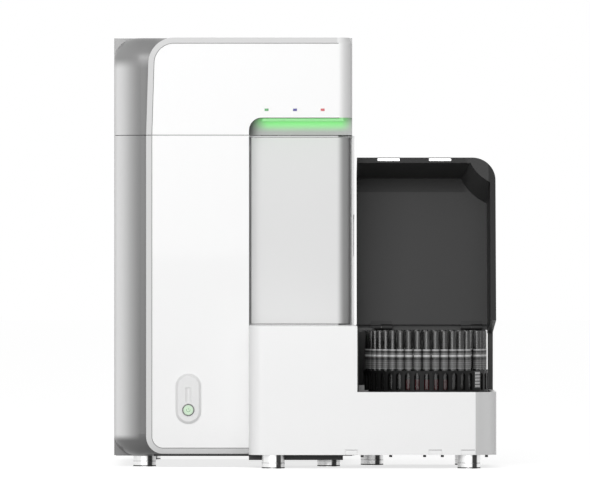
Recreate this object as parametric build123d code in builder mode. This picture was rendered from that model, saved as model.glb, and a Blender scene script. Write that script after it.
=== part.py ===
from build123d import *
import os
from math import cos, pi, radians, sin

# A bench flow cytometer with a carousel loader docked at its lower right.
# Millimetres. X runs to the right, -Y is the front, Z is up, and the origin lies on the bench
# under the middle of the whole instrument.

# Overall size
overall_width = 625.0
overall_depth = 690.0
overall_height = 700.0
left_x = -overall_width / 2
right_x = overall_width / 2
front_y = -overall_depth / 2
rear_y = overall_depth / 2

# Clearances
fit_gap = 0.1
shaft_gap = 0.05
run_gap = 0.5

# Carousel: its ring of tubes sets the loader's width and the main unit's place beside it
tube_ring_radius = 92.8
tube_radius = 6.5
tube_pitch = 14.5
place_count = int(2 * pi * tube_ring_radius / tube_pitch)
rack_wall = 1.8
rack_fit = 0.3
rack_outer_radius = tube_ring_radius + tube_radius + rack_fit + rack_wall
rack_inner_radius = tube_ring_radius - tube_radius - rack_fit - rack_wall
low_wall = 8.0
liner_sheet = 2.0
liner_gap = 0.2
rack_side_gap = 1.6
rack_front_gap = 1.4
rack_tower_gap = 11.0
well_lining = low_wall + liner_gap + liner_sheet
loader_right_x = right_x - 2.9
carousel_x = loader_right_x - well_lining - rack_side_gap - rack_outer_radius
carousel_y = front_y + well_lining + rack_front_gap + rack_outer_radius
tower_right_x = carousel_x - rack_outer_radius - rack_tower_gap
unit_right_x = tower_right_x - 7.5
panel_face_y = carousel_y - 26.0

# Main unit
side_sheet = 3.5
side_x = unit_right_x + side_sheet
panel_depth = 12.0
panel_skin = 4.0
panel_rib = 12.0
cover_front_y = panel_face_y + panel_depth
nipple_length = 10.0
flange_thickness = 2.0
cover_rear_y = rear_y - nipple_length - flange_thickness
cover_wall = 3.0
cover_edge_radius = 52.0
cover_brow_radius = 36.0
cover_square_y = cover_front_y + cover_edge_radius
cover_bottom_z = 18.5
seam_z = overall_height - 159.0
seam_gap = 1.0
lower_top_z = seam_z - seam_gap / 2
upper_bottom_z = seam_z + seam_gap / 2
grip_z = (seam_z - 197.0, seam_z - 129.0)
grip_slant = 8.0
grip_depth = 1.7
grip_length = 30.0

# White front panels
panel_left_x = left_x + 53.2
panel_top_left_x = left_x + 58.0
panel_bottom_z = 22.0
panel_corner_radius = 28.0
panel_crown_radius = 42.0
panel_edge_radius = 21.0
panel_bevel_width = 9.5
panel_bevel_depth = 5.0
split_x = unit_right_x - 168.3
recess_depth = 36.0
door_face_y = panel_face_y + recess_depth

# Light pocket and status lights
pocket_top_z = upper_bottom_z + 28.0
pocket_corner_radius = 21.0
pocket_wall = 2.5
light_bar_length = unit_right_x - split_x - 36.3
light_bar_depth = 16.0
light_bar_height = 6.0
light_bar_x = unit_right_x - 80.5
status_light_x = (split_x + 28.6, split_x + 75.0, split_x + 120.0)
status_light_z = seam_z + 41.2
status_light_width = 6.5
status_light_height = 4.0
status_light_proud = 0.6

# Power pod and button
cover_return_x = left_x + cover_edge_radius + 24.0
pod_x = cover_return_x + 0.3179 * (split_x - cover_return_x)
pod_z = 111.8
pod_width = 42.0
pod_height = 82.0
pod_proud = 5.0
pod_bevel = 4.0
scoop_z = (106.0, 130.0)
scoop_radius = 7.0
button_z = 93.6
button_radius = 8.0
button_height = 4.5
button_travel = 3.0
ring_radius = 10.0
ring_proud = 1.0
stem_radius = 4.0
switch_size = 24.0
switch_depth = 22.0
switch_bore = 18.0
stem_reach = 12.0

# Front door and the bay behind it
door_left_x = split_x + 3.8
door_right_x = unit_right_x - 2.5
door_bottom_z = 234.0
door_depth = 22.0
door_wall = 4.0
door_edge_radius = 20.0
door_pin_radius = 2.5
door_pin_x = door_left_x + 4.0
door_pin_y = door_face_y + 5.0
door_pin_hold = 3.5
sill_height = 4.0
lintel_height = 2.5
door_top_z = lower_top_z - lintel_height - run_gap
door_rear_y = door_face_y + door_depth
frame_front_y = door_rear_y + 1.0
frame_depth = 6.0
frame_border = 26.0
bay_left_x = split_x + 21.8
bay_right_x = unit_right_x - 18.5
bay_bottom_z = door_bottom_z + 16.0
bay_top_z = seam_z - 29.0
bay_front_y = frame_front_y + frame_depth
bay_rear_y = bay_front_y + 83.0
bay_wall = 2.0
bay_back_y = bay_rear_y - bay_wall
filter_x = bay_left_x + 40.0
filter_y = bay_back_y - 28.0
filter_z = (bay_bottom_z + 50.0, (bay_bottom_z + bay_top_z) / 2 + 29.0)
filter_radius = 22.0
filter_neck = 14.0
filter_neck_radius = 5.0
filter_clamp_width = 16.0
filter_clamp_height = 30.0
pump_x = bay_right_x - 32.0
pump_z = bay_bottom_z + 80.0
pump_motor_radius = 16.0
pump_motor_length = 30.0
pump_head = 18.0
pump_size = 46.0
pump_chamfer = 8.0

# Inside the main unit
base_top_z = 21.5
base_thickness = 4.0
base_bottom_z = base_top_z - base_thickness
base_front_y = cover_square_y + cover_wall
base_lip_y = base_front_y - 9.0
base_left_x = left_x + cover_wall
rear_panel_y = cover_rear_y - cover_wall
post_size = 18.0
deck_bottom_z = seam_z - 21.0
deck_thickness = 10.0
deck_top_z = deck_bottom_z + deck_thickness
rail_height = 20.0

# Feet
foot_radius = 18.5
main_foot_x = (left_x + 49.5, unit_right_x - 38.3)
main_foot_y = (front_y + 167.0, rear_y - 55.0)

# Optics on the deck
optics_y = bay_rear_y + 110.0
cell_x = unit_right_x - 136.5
cell_height = 62.0
snout_size = 18.0
beam_height = 20.0
laser_y = (optics_y - 40.0, optics_y + 30.0)
laser_front_x = cell_x - 60.0
laser_length = laser_front_x - base_left_x - 49.5
laser_width = 50.0
laser_top_z = deck_top_z + 46.0
laser_slot_pitch = 10.0
laser_slots = int(laser_length / laser_slot_pitch) - 2
detector_count = 4
detector_pitch = 46.0
detector_radius = 13.0
detector_x = (unit_right_x - 100.5, unit_right_x - 16.5)
detector_y = (optics_y - 70.0, optics_y + 130.0)

# Electronics under the deck
board_length_y = (optics_y - 60.0, cover_rear_y - 93.0)
board_height = 240.0
chip_places = ((1 / 6, 160.0, 34.0), (1 / 2, 100.0, 44.0), (5 / 6, 170.0, 28.0))
supply_x = (unit_right_x - 126.5, unit_right_x - 21.5)
supply_y = (cover_rear_y - 213.0, cover_rear_y - 48.0)
supply_height = 52.0
supply_slots = 9
supply_slot_pitch = 16.0

# Rear fittings
fan_size = 80.0
fan_depth = 25.0
fan_x = left_x + 107.5
fan_z = deck_bottom_z - 100.0
fan_bore_radius = 38.0
fan_hub_radius = 16.0
fan_blade_count = 7
fan_blade_gap = 1.5
fan_axle_radius = 2.0
fan_plate = 4.0
louvre_count = 9
louvre_pitch = 8.0
louvre_height = 4.2
inlet_x = unit_right_x - 56.5
inlet_z = 75.0
inlet_recess = (25.0, 18.0)
rocker_width = 13.0
rocker_length = 17.0
rocker_gap = 0.8
rocker_tilt = 8.0
rocker_z = inlet_z + 31.0
port_x = inlet_x
port_z = 142.0
fluid_port_x = (left_x + 42.5, left_x + 72.5, left_x + 102.5)
fluid_body = 12.0
fluid_flange = 18.0
fluid_port_z = 80.0
nipple_radius = 4.0

# Top cover hinge
cover_hinge_x = (left_x + 82.5, unit_right_x - 82.5)
cover_hinge_width = 60.0
cover_knuckle_radius = 4.0
cover_pin_radius = 2.0
cover_leaf_height = 24.0
cover_hinge_y = cover_rear_y + cover_knuckle_radius + run_gap
cover_hinge_z = seam_z

# Loader housing
dock_gap = 0.5
dock_x = side_x + dock_gap
loader_rear_y = carousel_y + rack_outer_radius + 68.6
tower_rear_y = door_face_y - 1.5
housing_bottom_z = 22.3
loader_foot_x = (split_x + 39.6, loader_right_x - 44.5, tower_right_x + 26.0)
loader_foot_y = (front_y + 27.0, loader_rear_y - 28.0)
wall_top_z = 124.0
tower_top_z = 231.5
housing_wall = 4.0
tower_edge_radius = 22.0
loader_edge_radius = 34.0
notch_height = 8.3
notch_spans = (
    (tower_right_x - 19.5, tower_right_x),
    (loader_right_x - 109.9, loader_right_x - 88.6),
    (loader_right_x - 57.8, loader_right_x - 35.1),
)
tray_thickness = 3.0
dock_plate_x = (split_x, tower_right_x - 23.0)
dock_plate_bottom_z = 13.0
dock_plate_front_y = front_y + 47.0
dock_plate_rear_y = base_front_y + 41.0

# Well
well_floor_z = 103.0
well_rear_y = loader_rear_y - 36.0
liner_low_z = 122.0
liner_high_z = tower_top_z - 12.0
tray_post_size = 10.0

# Rear lid frame
lid_frame_depth = 8.0
lid_frame_top_z = tower_top_z - 0.5
lid_frame_bar = 9.0
lid_frame_foot_z = 100.0
slit_right_x = loader_right_x - 8.6
slit_width = 3.6
slit_bottom_z = 157.0
lid_frame_front_y = loader_rear_y - lid_frame_depth

# Lid, in its closed pose round the hinge axis
lid_hinge_y = loader_rear_y - 19.0
lid_hinge_z = tower_top_z - 5.0
lid_open_angle = 102.0
lid_front = front_y - lid_hinge_y
lid_tail = 9.0
lid_rim = wall_top_z + run_gap - lid_hinge_z
lid_top = tower_top_z - lid_hinge_z
lid_panel = 4.0
lid_under = lid_top - lid_panel
lid_wall = 9.0
lid_draft = 1.93
lid_corner_radius = 38.0
lid_edge_bevel = 4.0
lid_left_x = tower_right_x + 0.9
lid_panel_setback = 4.8
pillar_offset = 30.0
pillar_rim_radius = 68.9
pillar_base_radius = 82.6
strike_x = (tower_right_x + 53.0, loader_right_x - 88.1)
strike_length = 36.0
strike_width = 4.0
strike_thickness = 1.2
strike_inset = 1.6
magnet_height = 3.0
lid_hinge_x = (tower_right_x + 41.6, loader_right_x - 35.8)
lid_hinge_width = 35.0
lid_knuckle_radius = 4.0
lid_pin_radius = 1.5
lid_leaf = (-11.0, -5.0)
lid_leaf_thickness = 2.0
knuckle_gap = 0.3

# Carousel
place_step = 360 / place_count
home_place = 6
tube_wall = 0.9
tube_length = 100.0
tube_bottom_z = 122.7
tube_sides = 10
rack_floor = 5.0
rack_top_z = 158.0
rib_thickness = 1.0
window_width = 9.0
window_sill_z = 127.0
window_spring_z = 150.0
hub_bottom_z = 110.0
hub_disc = 4.0
hub_disc_radius = rack_inner_radius + 5.8
hub_boss_radius = 14.0
post_radius = 8.0
knob_radius = 20.0
knob_top_z = 206.0
knob_height = 16.0
spindle_radius = 6.0
spindle_top_z = 118.0
bearing_radius = 13.0
bearing_height = 10.0
motor_size = 42.0
motor_height = 44.0
motor_boss = 2.0
marker_width = 14.0
marker_thickness = 1.0
marker_z = (130.0, 157.0)
sensor_x = (tower_right_x + 11.5, tower_right_x + 18.0)
sensor_y = (front_y + 15.0, front_y + 33.0)
sensor_z = (127.0, 135.0)

# Needle guide arm
arm_tip_x = carousel_x - tube_ring_radius + 9.0
arm_tail_x = tower_right_x - 74.0
arm_root_x = tower_right_x + 8.5
arm_bottom_z = 223.2
arm_height = 3.6
arm_width = 8.0
arm_root_drop = 3.0
arm_rail_wall = 4.0
arm_rail_height = 8.0
arm_rail_left_x = split_x + 31.8
needle_eye_radius = 1.5

# Places that follow from the sizes above
tower_inner_x = (split_x + 0.1 + housing_wall, tower_right_x - housing_wall)
tower_inner_y = (front_y + housing_wall, tower_rear_y - housing_wall)
well_x = (tower_right_x, loader_right_x - low_wall)
well_y = (front_y + low_wall, loader_rear_y - housing_wall)
rack_bottom_z = tube_bottom_z - rack_floor
home_angle = home_place * place_step
arm_z = (arm_bottom_z, arm_bottom_z + arm_height)
arm_root_z = arm_bottom_z - arm_root_drop
arm_y = (carousel_y - arm_width / 2, carousel_y + arm_width / 2)
lid_plane = Plane(
    origin=(0, lid_hinge_y, lid_hinge_z),
    x_dir=(1, 0, 0),
    z_dir=(0, sin(radians(lid_open_angle)), cos(radians(lid_open_angle))),
)
lid_outwards = Axis(lid_plane.origin, lid_plane.z_dir)


def block(x, y, z, mode=Mode.ADD):
    """A box between two limits on each axis, in the piece that is being built."""
    with Locations(((x[0] + x[1]) / 2, (y[0] + y[1]) / 2, (z[0] + z[1]) / 2)):
        Box(x[1] - x[0], y[1] - y[0], z[1] - z[0], mode=mode)


def around(middle, size):
    """The two limits of a length that is centred on one place."""
    return (middle - size / 2, middle + size / 2)


def front_plane(y):
    """A plane that faces the front, with its sketch's own y upwards."""
    return Plane.XZ.offset(-y)


def upright(edges, x, y):
    """The vertical edges that stand at one place in plan."""
    return [
        edge
        for edge in edges.filter_by(Axis.Z)
        if (edge.center() - Vector(x, y, edge.center().Z)).length < 0.1
    ]


def corner(vertices, x, y):
    """The corners of a sketch that lie at one place."""
    return [point for point in vertices if abs(point.X - x) < 0.1 and abs(point.Y - y) < 0.1]


def outline(points, roundings=()):
    """A closed outline, with a radius at some of its corners, as a sketch of its own."""
    with BuildSketch() as shape:
        with BuildLine():
            Polyline(*points, close=True)
        make_face()
        for x, y, radius in roundings:
            fillet(corner(shape.vertices(), x, y), radius)
    return shape.sketch


def rectangle(x, y):
    """The four corners of a rectangle between two limits on each axis."""
    return [(x[0], y[0]), (x[1], y[0]), (x[1], y[1]), (x[0], y[1])]


def front_rounded(x, y, z, edge_radius, brow_radius, brow_at_top, square_y):
    """A cover's inside or outside: a nose rounded at its left and along its brow, and a square rear."""
    with BuildPart() as form:
        block(x, y, z)
        fillet(upright(form.edges(), x[0], y[0]), edge_radius)
        brow = form.faces().sort_by(Axis.Y)[0].edges().filter_by(Axis.X).sort_by(Axis.Z)
        fillet(brow[-1] if brow_at_top else brow[0], brow_radius)
        block(x, (square_y, y[1]), z)
    return form.part


def round_bar(plane, places, radius, length, mode=Mode.ADD):
    """Round bars, or bores, that start on a plane and run along its normal, or against it if negative."""
    end = Align.MIN if length > 0 else Align.MAX
    with Locations(plane):
        with Locations(*places):
            Cylinder(radius, abs(length), align=(Align.CENTER, Align.CENTER, end), mode=mode)


def place(angle):
    """A carousel place, counted in degrees to the right of the front one, with its own x outwards."""
    return Location((carousel_x, carousel_y, 0), (0, 0, angle - 90))


def carousel_plane(z):
    """A level plane with its origin on the carousel's axis."""
    return Plane((carousel_x, carousel_y, z))


def save(part, name):
    """Labels a finished piece and writes it to its own file."""
    part.label = name
    export_step(part, f"parts/{name}.step")


os.makedirs("parts", exist_ok=True)

# Side covers: the left one is a shell that wraps round to the front panel
left_outside = front_rounded(
    (left_x, cover_return_x),
    (cover_front_y, cover_rear_y),
    (cover_bottom_z, lower_top_z),
    cover_edge_radius,
    cover_brow_radius,
    False,
    cover_square_y,
)
left_inside = front_rounded(
    (left_x + cover_wall, cover_return_x + cover_wall),
    (cover_front_y + cover_wall, cover_rear_y + cover_wall),
    (cover_bottom_z + cover_wall, lower_top_z + cover_wall),
    cover_edge_radius - cover_wall,
    cover_brow_radius - cover_wall,
    False,
    cover_square_y + cover_wall,
)
with BuildPart() as side_cover_left:
    add(left_outside)
    add(left_inside, mode=Mode.SUBTRACT)
    block(
        (base_left_x, cover_return_x + 1),
        (base_front_y, cover_rear_y + 1),
        (base_bottom_z, base_top_z),
        mode=Mode.SUBTRACT,
    )
save(side_cover_left.part, "side_cover_left")

side_front_y = door_face_y + 8.0
grip_rear_y = side_front_y + grip_length
with BuildPart() as side_cover_right:
    block((unit_right_x, side_x), (side_front_y, cover_rear_y), (cover_bottom_z, lower_top_z))
    with BuildSketch(Plane.YZ.offset(side_x)):
        add(
            outline([
                (side_front_y - 1, grip_z[0]),
                (grip_rear_y, grip_z[0]),
                (grip_rear_y, grip_z[1] - grip_slant),
                (side_front_y - 1, grip_z[1]),
            ])
        )
    extrude(amount=-grip_depth, mode=Mode.SUBTRACT)
save(side_cover_right.part, "side_cover_right")

# Top cover: the same shell turned over, cut away for the panel's right end and the light pocket
wrap_x = unit_right_x - panel_edge_radius
top_outside = front_rounded(
    (left_x, unit_right_x),
    (cover_front_y, cover_rear_y),
    (upper_bottom_z, overall_height),
    cover_edge_radius,
    cover_brow_radius,
    True,
    cover_square_y,
)
top_inside = front_rounded(
    (left_x + cover_wall, unit_right_x - cover_wall),
    (cover_front_y + cover_wall, cover_rear_y - cover_wall),
    (upper_bottom_z - cover_wall, overall_height - cover_wall),
    cover_edge_radius - cover_wall,
    cover_brow_radius - cover_wall,
    True,
    cover_square_y + cover_wall,
)
with BuildPart() as top_cover:
    add(top_outside)
    add(top_inside, mode=Mode.SUBTRACT)
    block(
        (wrap_x, side_x),
        (panel_face_y, door_face_y),
        (upper_bottom_z - 1, overall_height + 1),
        mode=Mode.SUBTRACT,
    )
    block(
        (split_x - pocket_wall, side_x),
        (panel_face_y, door_face_y + pocket_wall),
        (upper_bottom_z - 1, pocket_top_z + pocket_wall),
        mode=Mode.SUBTRACT,
    )
    for x in status_light_x:
        block(
            around(x, status_light_width + 1),
            (panel_face_y, cover_front_y + 2 * cover_wall),
            around(status_light_z, status_light_height + 1),
            mode=Mode.SUBTRACT,
        )
save(top_cover.part, "top_cover")

# Upper front panel: a plate with a bevelled border that wraps round the right edge
upper_outline = outline(
    [
        (panel_left_x, upper_bottom_z),
        (split_x, upper_bottom_z),
        (split_x, pocket_top_z),
        (unit_right_x, pocket_top_z),
        (unit_right_x, overall_height),
        (panel_top_left_x, overall_height),
    ],
    [
        (panel_top_left_x, overall_height, panel_crown_radius),
        (split_x, pocket_top_z, pocket_corner_radius),
    ],
)
with BuildPart() as front_panel_upper:
    with BuildSketch(front_plane(cover_front_y)):
        add(upper_outline)
    extrude(amount=panel_depth)
    block((wrap_x, unit_right_x), (cover_front_y, door_face_y), (pocket_top_z, overall_height))
    fillet(upright(front_panel_upper.edges(), unit_right_x, panel_face_y), panel_edge_radius)
    upper_face = front_panel_upper.faces().sort_by(Axis.Y)[0]
    crown = [
        edge for edge in upper_face.edges()
        if edge.center().X < panel_top_left_x + panel_crown_radius / 2 and edge.center().Z > seam_z + 1
    ]
    crown += upper_face.edges().filter_by(Axis.X).sort_by(Axis.Z)[-1:]
    chamfer(crown, length=panel_bevel_width, length2=panel_bevel_depth, reference=upper_face)
    block(
        (panel_top_left_x + panel_rib, split_x - panel_rib),
        (panel_face_y + panel_skin, cover_front_y),
        (upper_bottom_z + panel_rib, overall_height - 2 * panel_rib),
        mode=Mode.SUBTRACT,
    )
    for x in status_light_x:
        block(
            around(x, status_light_width),
            (panel_face_y - 1, cover_front_y + 1),
            around(status_light_z, status_light_height),
            mode=Mode.SUBTRACT,
        )
save(front_panel_upper.part, "front_panel_upper")

# Lower front panel: the same plate, with a return into the recess beside the door
lower_outline = outline(
    rectangle((panel_left_x, split_x), (panel_bottom_z, lower_top_z)),
    [(panel_left_x, panel_bottom_z, panel_corner_radius)],
)
with BuildPart() as front_panel_lower:
    with BuildSketch(front_plane(cover_front_y)):
        add(lower_outline)
    extrude(amount=panel_depth)
    lower_face = front_panel_lower.faces().sort_by(Axis.Y)[0]
    hem = [
        edge
        for edge in lower_face.edges()
        if edge.center().X < split_x - 1 and edge.center().Z < seam_z - 1
    ]
    chamfer(hem, length=panel_bevel_width, length2=panel_bevel_depth, reference=lower_face)
    block(
        (panel_left_x + panel_rib, split_x - panel_rib),
        (panel_face_y + panel_skin, cover_front_y),
        (panel_bottom_z + 2 * panel_rib, lower_top_z - panel_rib),
        mode=Mode.SUBTRACT,
    )
    block((split_x - panel_skin, split_x), (cover_front_y, frame_front_y), (panel_bottom_z, lower_top_z))
    round_bar(front_plane(cover_front_y), [(pod_x, button_z)], ring_radius, panel_depth, Mode.SUBTRACT)
save(front_panel_lower.part, "front_panel_lower")

# Light pocket: a liner with a back, a ceiling and a left cheek, and the bar under its ceiling
with BuildPart() as light_pocket:
    block(
        (split_x - pocket_wall, unit_right_x),
        (door_face_y, door_face_y + pocket_wall),
        (upper_bottom_z, pocket_top_z + pocket_wall),
    )
    block(
        (split_x - pocket_wall, unit_right_x),
        (cover_front_y, door_face_y),
        (pocket_top_z, pocket_top_z + pocket_wall),
    )
    block((split_x - pocket_wall, split_x), (cover_front_y, door_face_y), (upper_bottom_z, pocket_top_z))
    block(
        (wrap_x, unit_right_x),
        (cover_front_y, door_face_y),
        (pocket_top_z, pocket_top_z + pocket_wall),
        mode=Mode.SUBTRACT,
    )
save(light_pocket.part, "light_pocket")

with BuildPart() as light_bar:
    with BuildSketch(Plane.YZ.offset(light_bar_x - light_bar_length / 2)):
        with Locations((cover_front_y + 2 + light_bar_depth / 2, pocket_top_z - light_bar_height / 2)):
            Rectangle(light_bar_depth, light_bar_height)
    extrude(amount=light_bar_length)
    fillet(light_bar.faces().sort_by(Axis.Z)[0].edges().filter_by(Axis.X), 2)
save(light_bar.part, "light_bar")

for name, x in zip(("led_green", "led_blue", "led_red"), status_light_x):
    with BuildPart() as led:
        block(
            around(x, status_light_width),
            (panel_face_y - status_light_proud, cover_front_y),
            around(status_light_z, status_light_height),
        )
    save(led.part, name)

# Power pod: a raised pill with a scoop above the button
with BuildPart() as power_pod:
    with BuildSketch(front_plane(panel_face_y)):
        with Locations((pod_x, pod_z)):
            SlotOverall(pod_height, pod_width, rotation=90)
    extrude(amount=pod_proud)
    chamfer(power_pod.faces().sort_by(Axis.Y)[0].edges(), pod_bevel)
    round_bar(front_plane(panel_face_y), [(pod_x, button_z)], ring_radius, pod_proud, Mode.SUBTRACT)
    with BuildSketch(Plane.XY.offset(scoop_z[0])):
        with Locations((pod_x, panel_face_y - pod_proud - scoop_radius + 2)):
            Circle(scoop_radius)
    extrude(amount=scoop_z[1] - scoop_z[0], mode=Mode.SUBTRACT)
save(power_pod.part, "power_pod")

pod_front_y = panel_face_y - pod_proud
button_hole_radius = button_radius + knuckle_gap
with BuildPart() as button_ring:
    round_bar(front_plane(panel_face_y), [(pod_x, button_z)], ring_radius, pod_proud + ring_proud)
    round_bar(front_plane(panel_face_y), [(pod_x, button_z)], button_hole_radius, pod_proud + 2, Mode.SUBTRACT)
save(button_ring.part, "button_ring")

button_rear_y = pod_front_y - ring_proud - 0.5 + button_height
switch_front_y = panel_face_y + panel_skin
with BuildPart() as power_button:
    round_bar(front_plane(button_rear_y), [(pod_x, button_z)], button_radius, button_height)
    round_bar(
        front_plane(switch_front_y + stem_reach),
        [(pod_x, button_z)],
        stem_radius,
        switch_front_y + stem_reach - button_rear_y,
    )
save(power_button.part, "power_button")

with BuildPart() as push_switch:
    block(
        around(pod_x, switch_size),
        (switch_front_y, switch_front_y + switch_depth),
        around(button_z, switch_size),
    )
    round_bar(
        front_plane(switch_front_y + switch_bore),
        [(pod_x, button_z)],
        stem_radius + knuckle_gap,
        switch_bore,
        Mode.SUBTRACT,
    )
save(push_switch.part, "push_switch")

# Front door: a shell with a rounded right edge, hung on two pins at its left
with BuildPart() as front_door:
    with BuildSketch(Plane.XY.offset(door_bottom_z)):
        add(
            outline(
                rectangle((door_left_x, door_right_x), (door_face_y, door_rear_y)),
                [(door_right_x, door_face_y, door_edge_radius)],
            )
        )
    extrude(amount=door_top_z - door_bottom_z)
    with BuildSketch(Plane.XY.offset(door_bottom_z + door_wall)):
        add(
            outline(
                rectangle(
                    (door_left_x + door_wall, door_right_x - door_wall),
                    (door_face_y + door_wall, door_rear_y + 1),
                ),
                [(door_right_x - door_wall, door_face_y + door_wall, door_edge_radius - door_wall)],
            )
        )
    extrude(amount=door_top_z - door_bottom_z - 2 * door_wall, mode=Mode.SUBTRACT)
    for z in (door_bottom_z, door_top_z):
        depth = door_wall if z == door_bottom_z else -door_wall
        round_bar(
            Plane.XY.offset(z), [(door_pin_x, door_pin_y)], door_pin_radius + shaft_gap, depth, Mode.SUBTRACT
        )
save(front_door.part, "front_door")

with BuildPart() as door_frame:
    with BuildSketch(front_plane(bay_front_y)):
        add(outline(rectangle((split_x - panel_skin, unit_right_x), (base_top_z, lower_top_z))))
        add(
            outline(rectangle((bay_left_x + 4, bay_right_x - 4), (bay_bottom_z + 4, bay_top_z - 4))),
            mode=Mode.SUBTRACT,
        )
    extrude(amount=frame_depth)
    for z, height in ((door_bottom_z - run_gap - sill_height, sill_height), (door_top_z + run_gap, lintel_height)):
        block((split_x, door_right_x - door_edge_radius), (door_face_y + 0.5, frame_front_y), (z, z + height))
        round_bar(Plane.XY.offset(z), [(door_pin_x, door_pin_y)], door_pin_radius, height, Mode.SUBTRACT)
save(door_frame.part, "door_frame")

with BuildPart() as fluidics_bay:
    block((bay_left_x, bay_right_x), (bay_front_y, bay_rear_y), (bay_bottom_z, bay_top_z))
    block(
        (bay_left_x + bay_wall, bay_right_x - bay_wall),
        (bay_front_y, bay_rear_y - bay_wall),
        (bay_bottom_z + bay_wall, bay_top_z - bay_wall),
        mode=Mode.SUBTRACT,
    )
save(fluidics_bay.part, "fluidics_bay")

with BuildPart() as sheath_filter:
    round_bar(Plane.XY.offset(filter_z[0]), [(filter_x, filter_y)], filter_radius, filter_z[1] - filter_z[0])
    round_bar(
        Plane.XY.offset(filter_z[0] - filter_neck),
        [(filter_x, filter_y)],
        filter_neck_radius,
        filter_z[1] - filter_z[0] + 2 * filter_neck,
    )
    block(
        around(filter_x, filter_clamp_width),
        (filter_y, bay_back_y),
        around((filter_z[0] + filter_z[1]) / 2, filter_clamp_height),
    )
save(sheath_filter.part, "sheath_filter")

with BuildPart() as fluid_pump:
    round_bar(front_plane(bay_back_y), [(pump_x, pump_z)], pump_motor_radius, pump_motor_length)
    block(
        around(pump_x, pump_size),
        (bay_back_y - pump_motor_length - pump_head, bay_back_y - pump_motor_length),
        around(pump_z, pump_size),
    )
    chamfer(fluid_pump.edges().filter_by(Axis.Y).group_by(Axis.Z)[0], pump_chamfer)
save(fluid_pump.part, "fluid_pump")

# Base plate, frame and what stands on them
with BuildPart() as base_plate:
    block((base_left_x, unit_right_x), (base_front_y, rear_panel_y), (base_bottom_z, base_top_z))
    block((split_x - panel_skin, unit_right_x), (base_lip_y, base_front_y), (base_bottom_z, base_top_z))
save(base_plate.part, "base_plate")

post_x = (base_left_x + 9, unit_right_x - 2 - post_size)
post_y = (bay_rear_y, rear_panel_y - 20 - post_size)
with BuildPart() as inner_frame:
    for x in post_x:
        for y in post_y:
            block((x, x + post_size), (y, y + post_size), (base_top_z, deck_bottom_z))
        block((x, x + post_size), (post_y[0], post_y[1] + post_size), (deck_bottom_z - rail_height, deck_bottom_z))
    for y in post_y:
        block((post_x[0], post_x[1] + post_size), (y, y + post_size), (deck_bottom_z - rail_height, deck_bottom_z))
save(inner_frame.part, "inner_frame")

deck_y = (bay_rear_y + 4, post_y[1] + post_size)
with BuildPart() as optical_deck:
    block((post_x[0], post_x[1] + post_size), deck_y, (deck_bottom_z, deck_top_z))
    chamfer(optical_deck.edges().filter_by(Axis.Z), 8)
save(optical_deck.part, "optical_deck")

# Optics: each laser is a finned box with a snout that looks along X towards the flow cell
with BuildPart() as lasers:
    for y in laser_y:
        block((laser_front_x - laser_length, laser_front_x), around(y, laser_width), (deck_top_z, laser_top_z))
        block(
            (laser_front_x, laser_front_x + snout_size),
            around(y, snout_size),
            around(deck_top_z + beam_height, snout_size),
        )
        for index in range(laser_slots):
            slot_x = laser_front_x - 12 - index * laser_slot_pitch
            block(
                (slot_x - laser_slot_pitch / 2, slot_x),
                around(y, laser_width + 1),
                (laser_top_z - 8, laser_top_z + 1),
                mode=Mode.SUBTRACT,
            )
save(lasers.part, "lasers")

with BuildPart() as flow_cell:
    block(around(cell_x, 44), (optics_y - 62, optics_y + 52), (deck_top_z, deck_top_z + 12))
    block(around(cell_x, 28), (optics_y - 18, optics_y + 10), (deck_top_z + 12, deck_top_z + cell_height))
    block(
        around(cell_x, 30),
        (optics_y - 11, optics_y + 3),
        (deck_top_z + 30, deck_top_z + 46),
        mode=Mode.SUBTRACT,
    )
    block(
        around(cell_x, 10),
        around(optics_y - 4, 10),
        (deck_top_z + cell_height, deck_top_z + cell_height + 12),
    )
save(flow_cell.part, "flow_cell")

with BuildPart() as detector_array:
    block(detector_x, detector_y, (deck_top_z, deck_top_z + 14))
    for index in range(detector_count):
        y = detector_y[0] + 30 + index * detector_pitch
        round_bar(Plane.YZ.offset(detector_x[0] + 10), [(y, deck_top_z + 30)], detector_radius, 66)
        block((detector_x[0] + 14, detector_x[1] - 12), around(y, 12), (deck_top_z + 14, deck_top_z + 24))
save(detector_array.part, "detector_array")

board_x = post_x[0] + post_size + 4
with BuildPart() as main_board:
    block((board_x, board_x + 2), board_length_y, (base_top_z, base_top_z + board_height))
    for share, height, size in chip_places:
        y = board_length_y[0] + share * (board_length_y[1] - board_length_y[0])
        block((board_x + 2, board_x + 8), around(y, size), around(base_top_z + height, size))
save(main_board.part, "main_board")

with BuildPart() as power_supply:
    block(supply_x, supply_y, (base_top_z, base_top_z + supply_height))
    for index in range(supply_slots):
        y = supply_y[0] + 20 + index * supply_slot_pitch
        block(
            (supply_x[0] + 10, supply_x[1] - 10),
            (y, y + 6),
            (base_top_z + supply_height - 2, base_top_z + supply_height + 1),
            mode=Mode.SUBTRACT,
        )
save(power_supply.part, "power_supply")

# Rear panel with its louvres and cut-outs
with BuildPart() as rear_panel:
    with BuildSketch(front_plane(cover_rear_y)):
        add(outline(rectangle((left_x + cover_wall, unit_right_x), (base_top_z, lower_top_z))))
        with Locations((fan_x, fan_z)):
            with GridLocations(0, louvre_pitch, 1, louvre_count):
                Rectangle(1.7 * fan_bore_radius, louvre_height, mode=Mode.SUBTRACT)
        with Locations((inlet_x, inlet_z + 15)):
            Rectangle(48, 58, mode=Mode.SUBTRACT)
        with Locations((port_x, port_z)):
            Rectangle(40, 22, mode=Mode.SUBTRACT)
        with Locations(*[(x, fluid_port_z) for x in fluid_port_x]):
            Rectangle(fluid_body, fluid_body, mode=Mode.SUBTRACT)
    extrude(amount=cover_wall)
save(rear_panel.part, "rear_panel")

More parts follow.
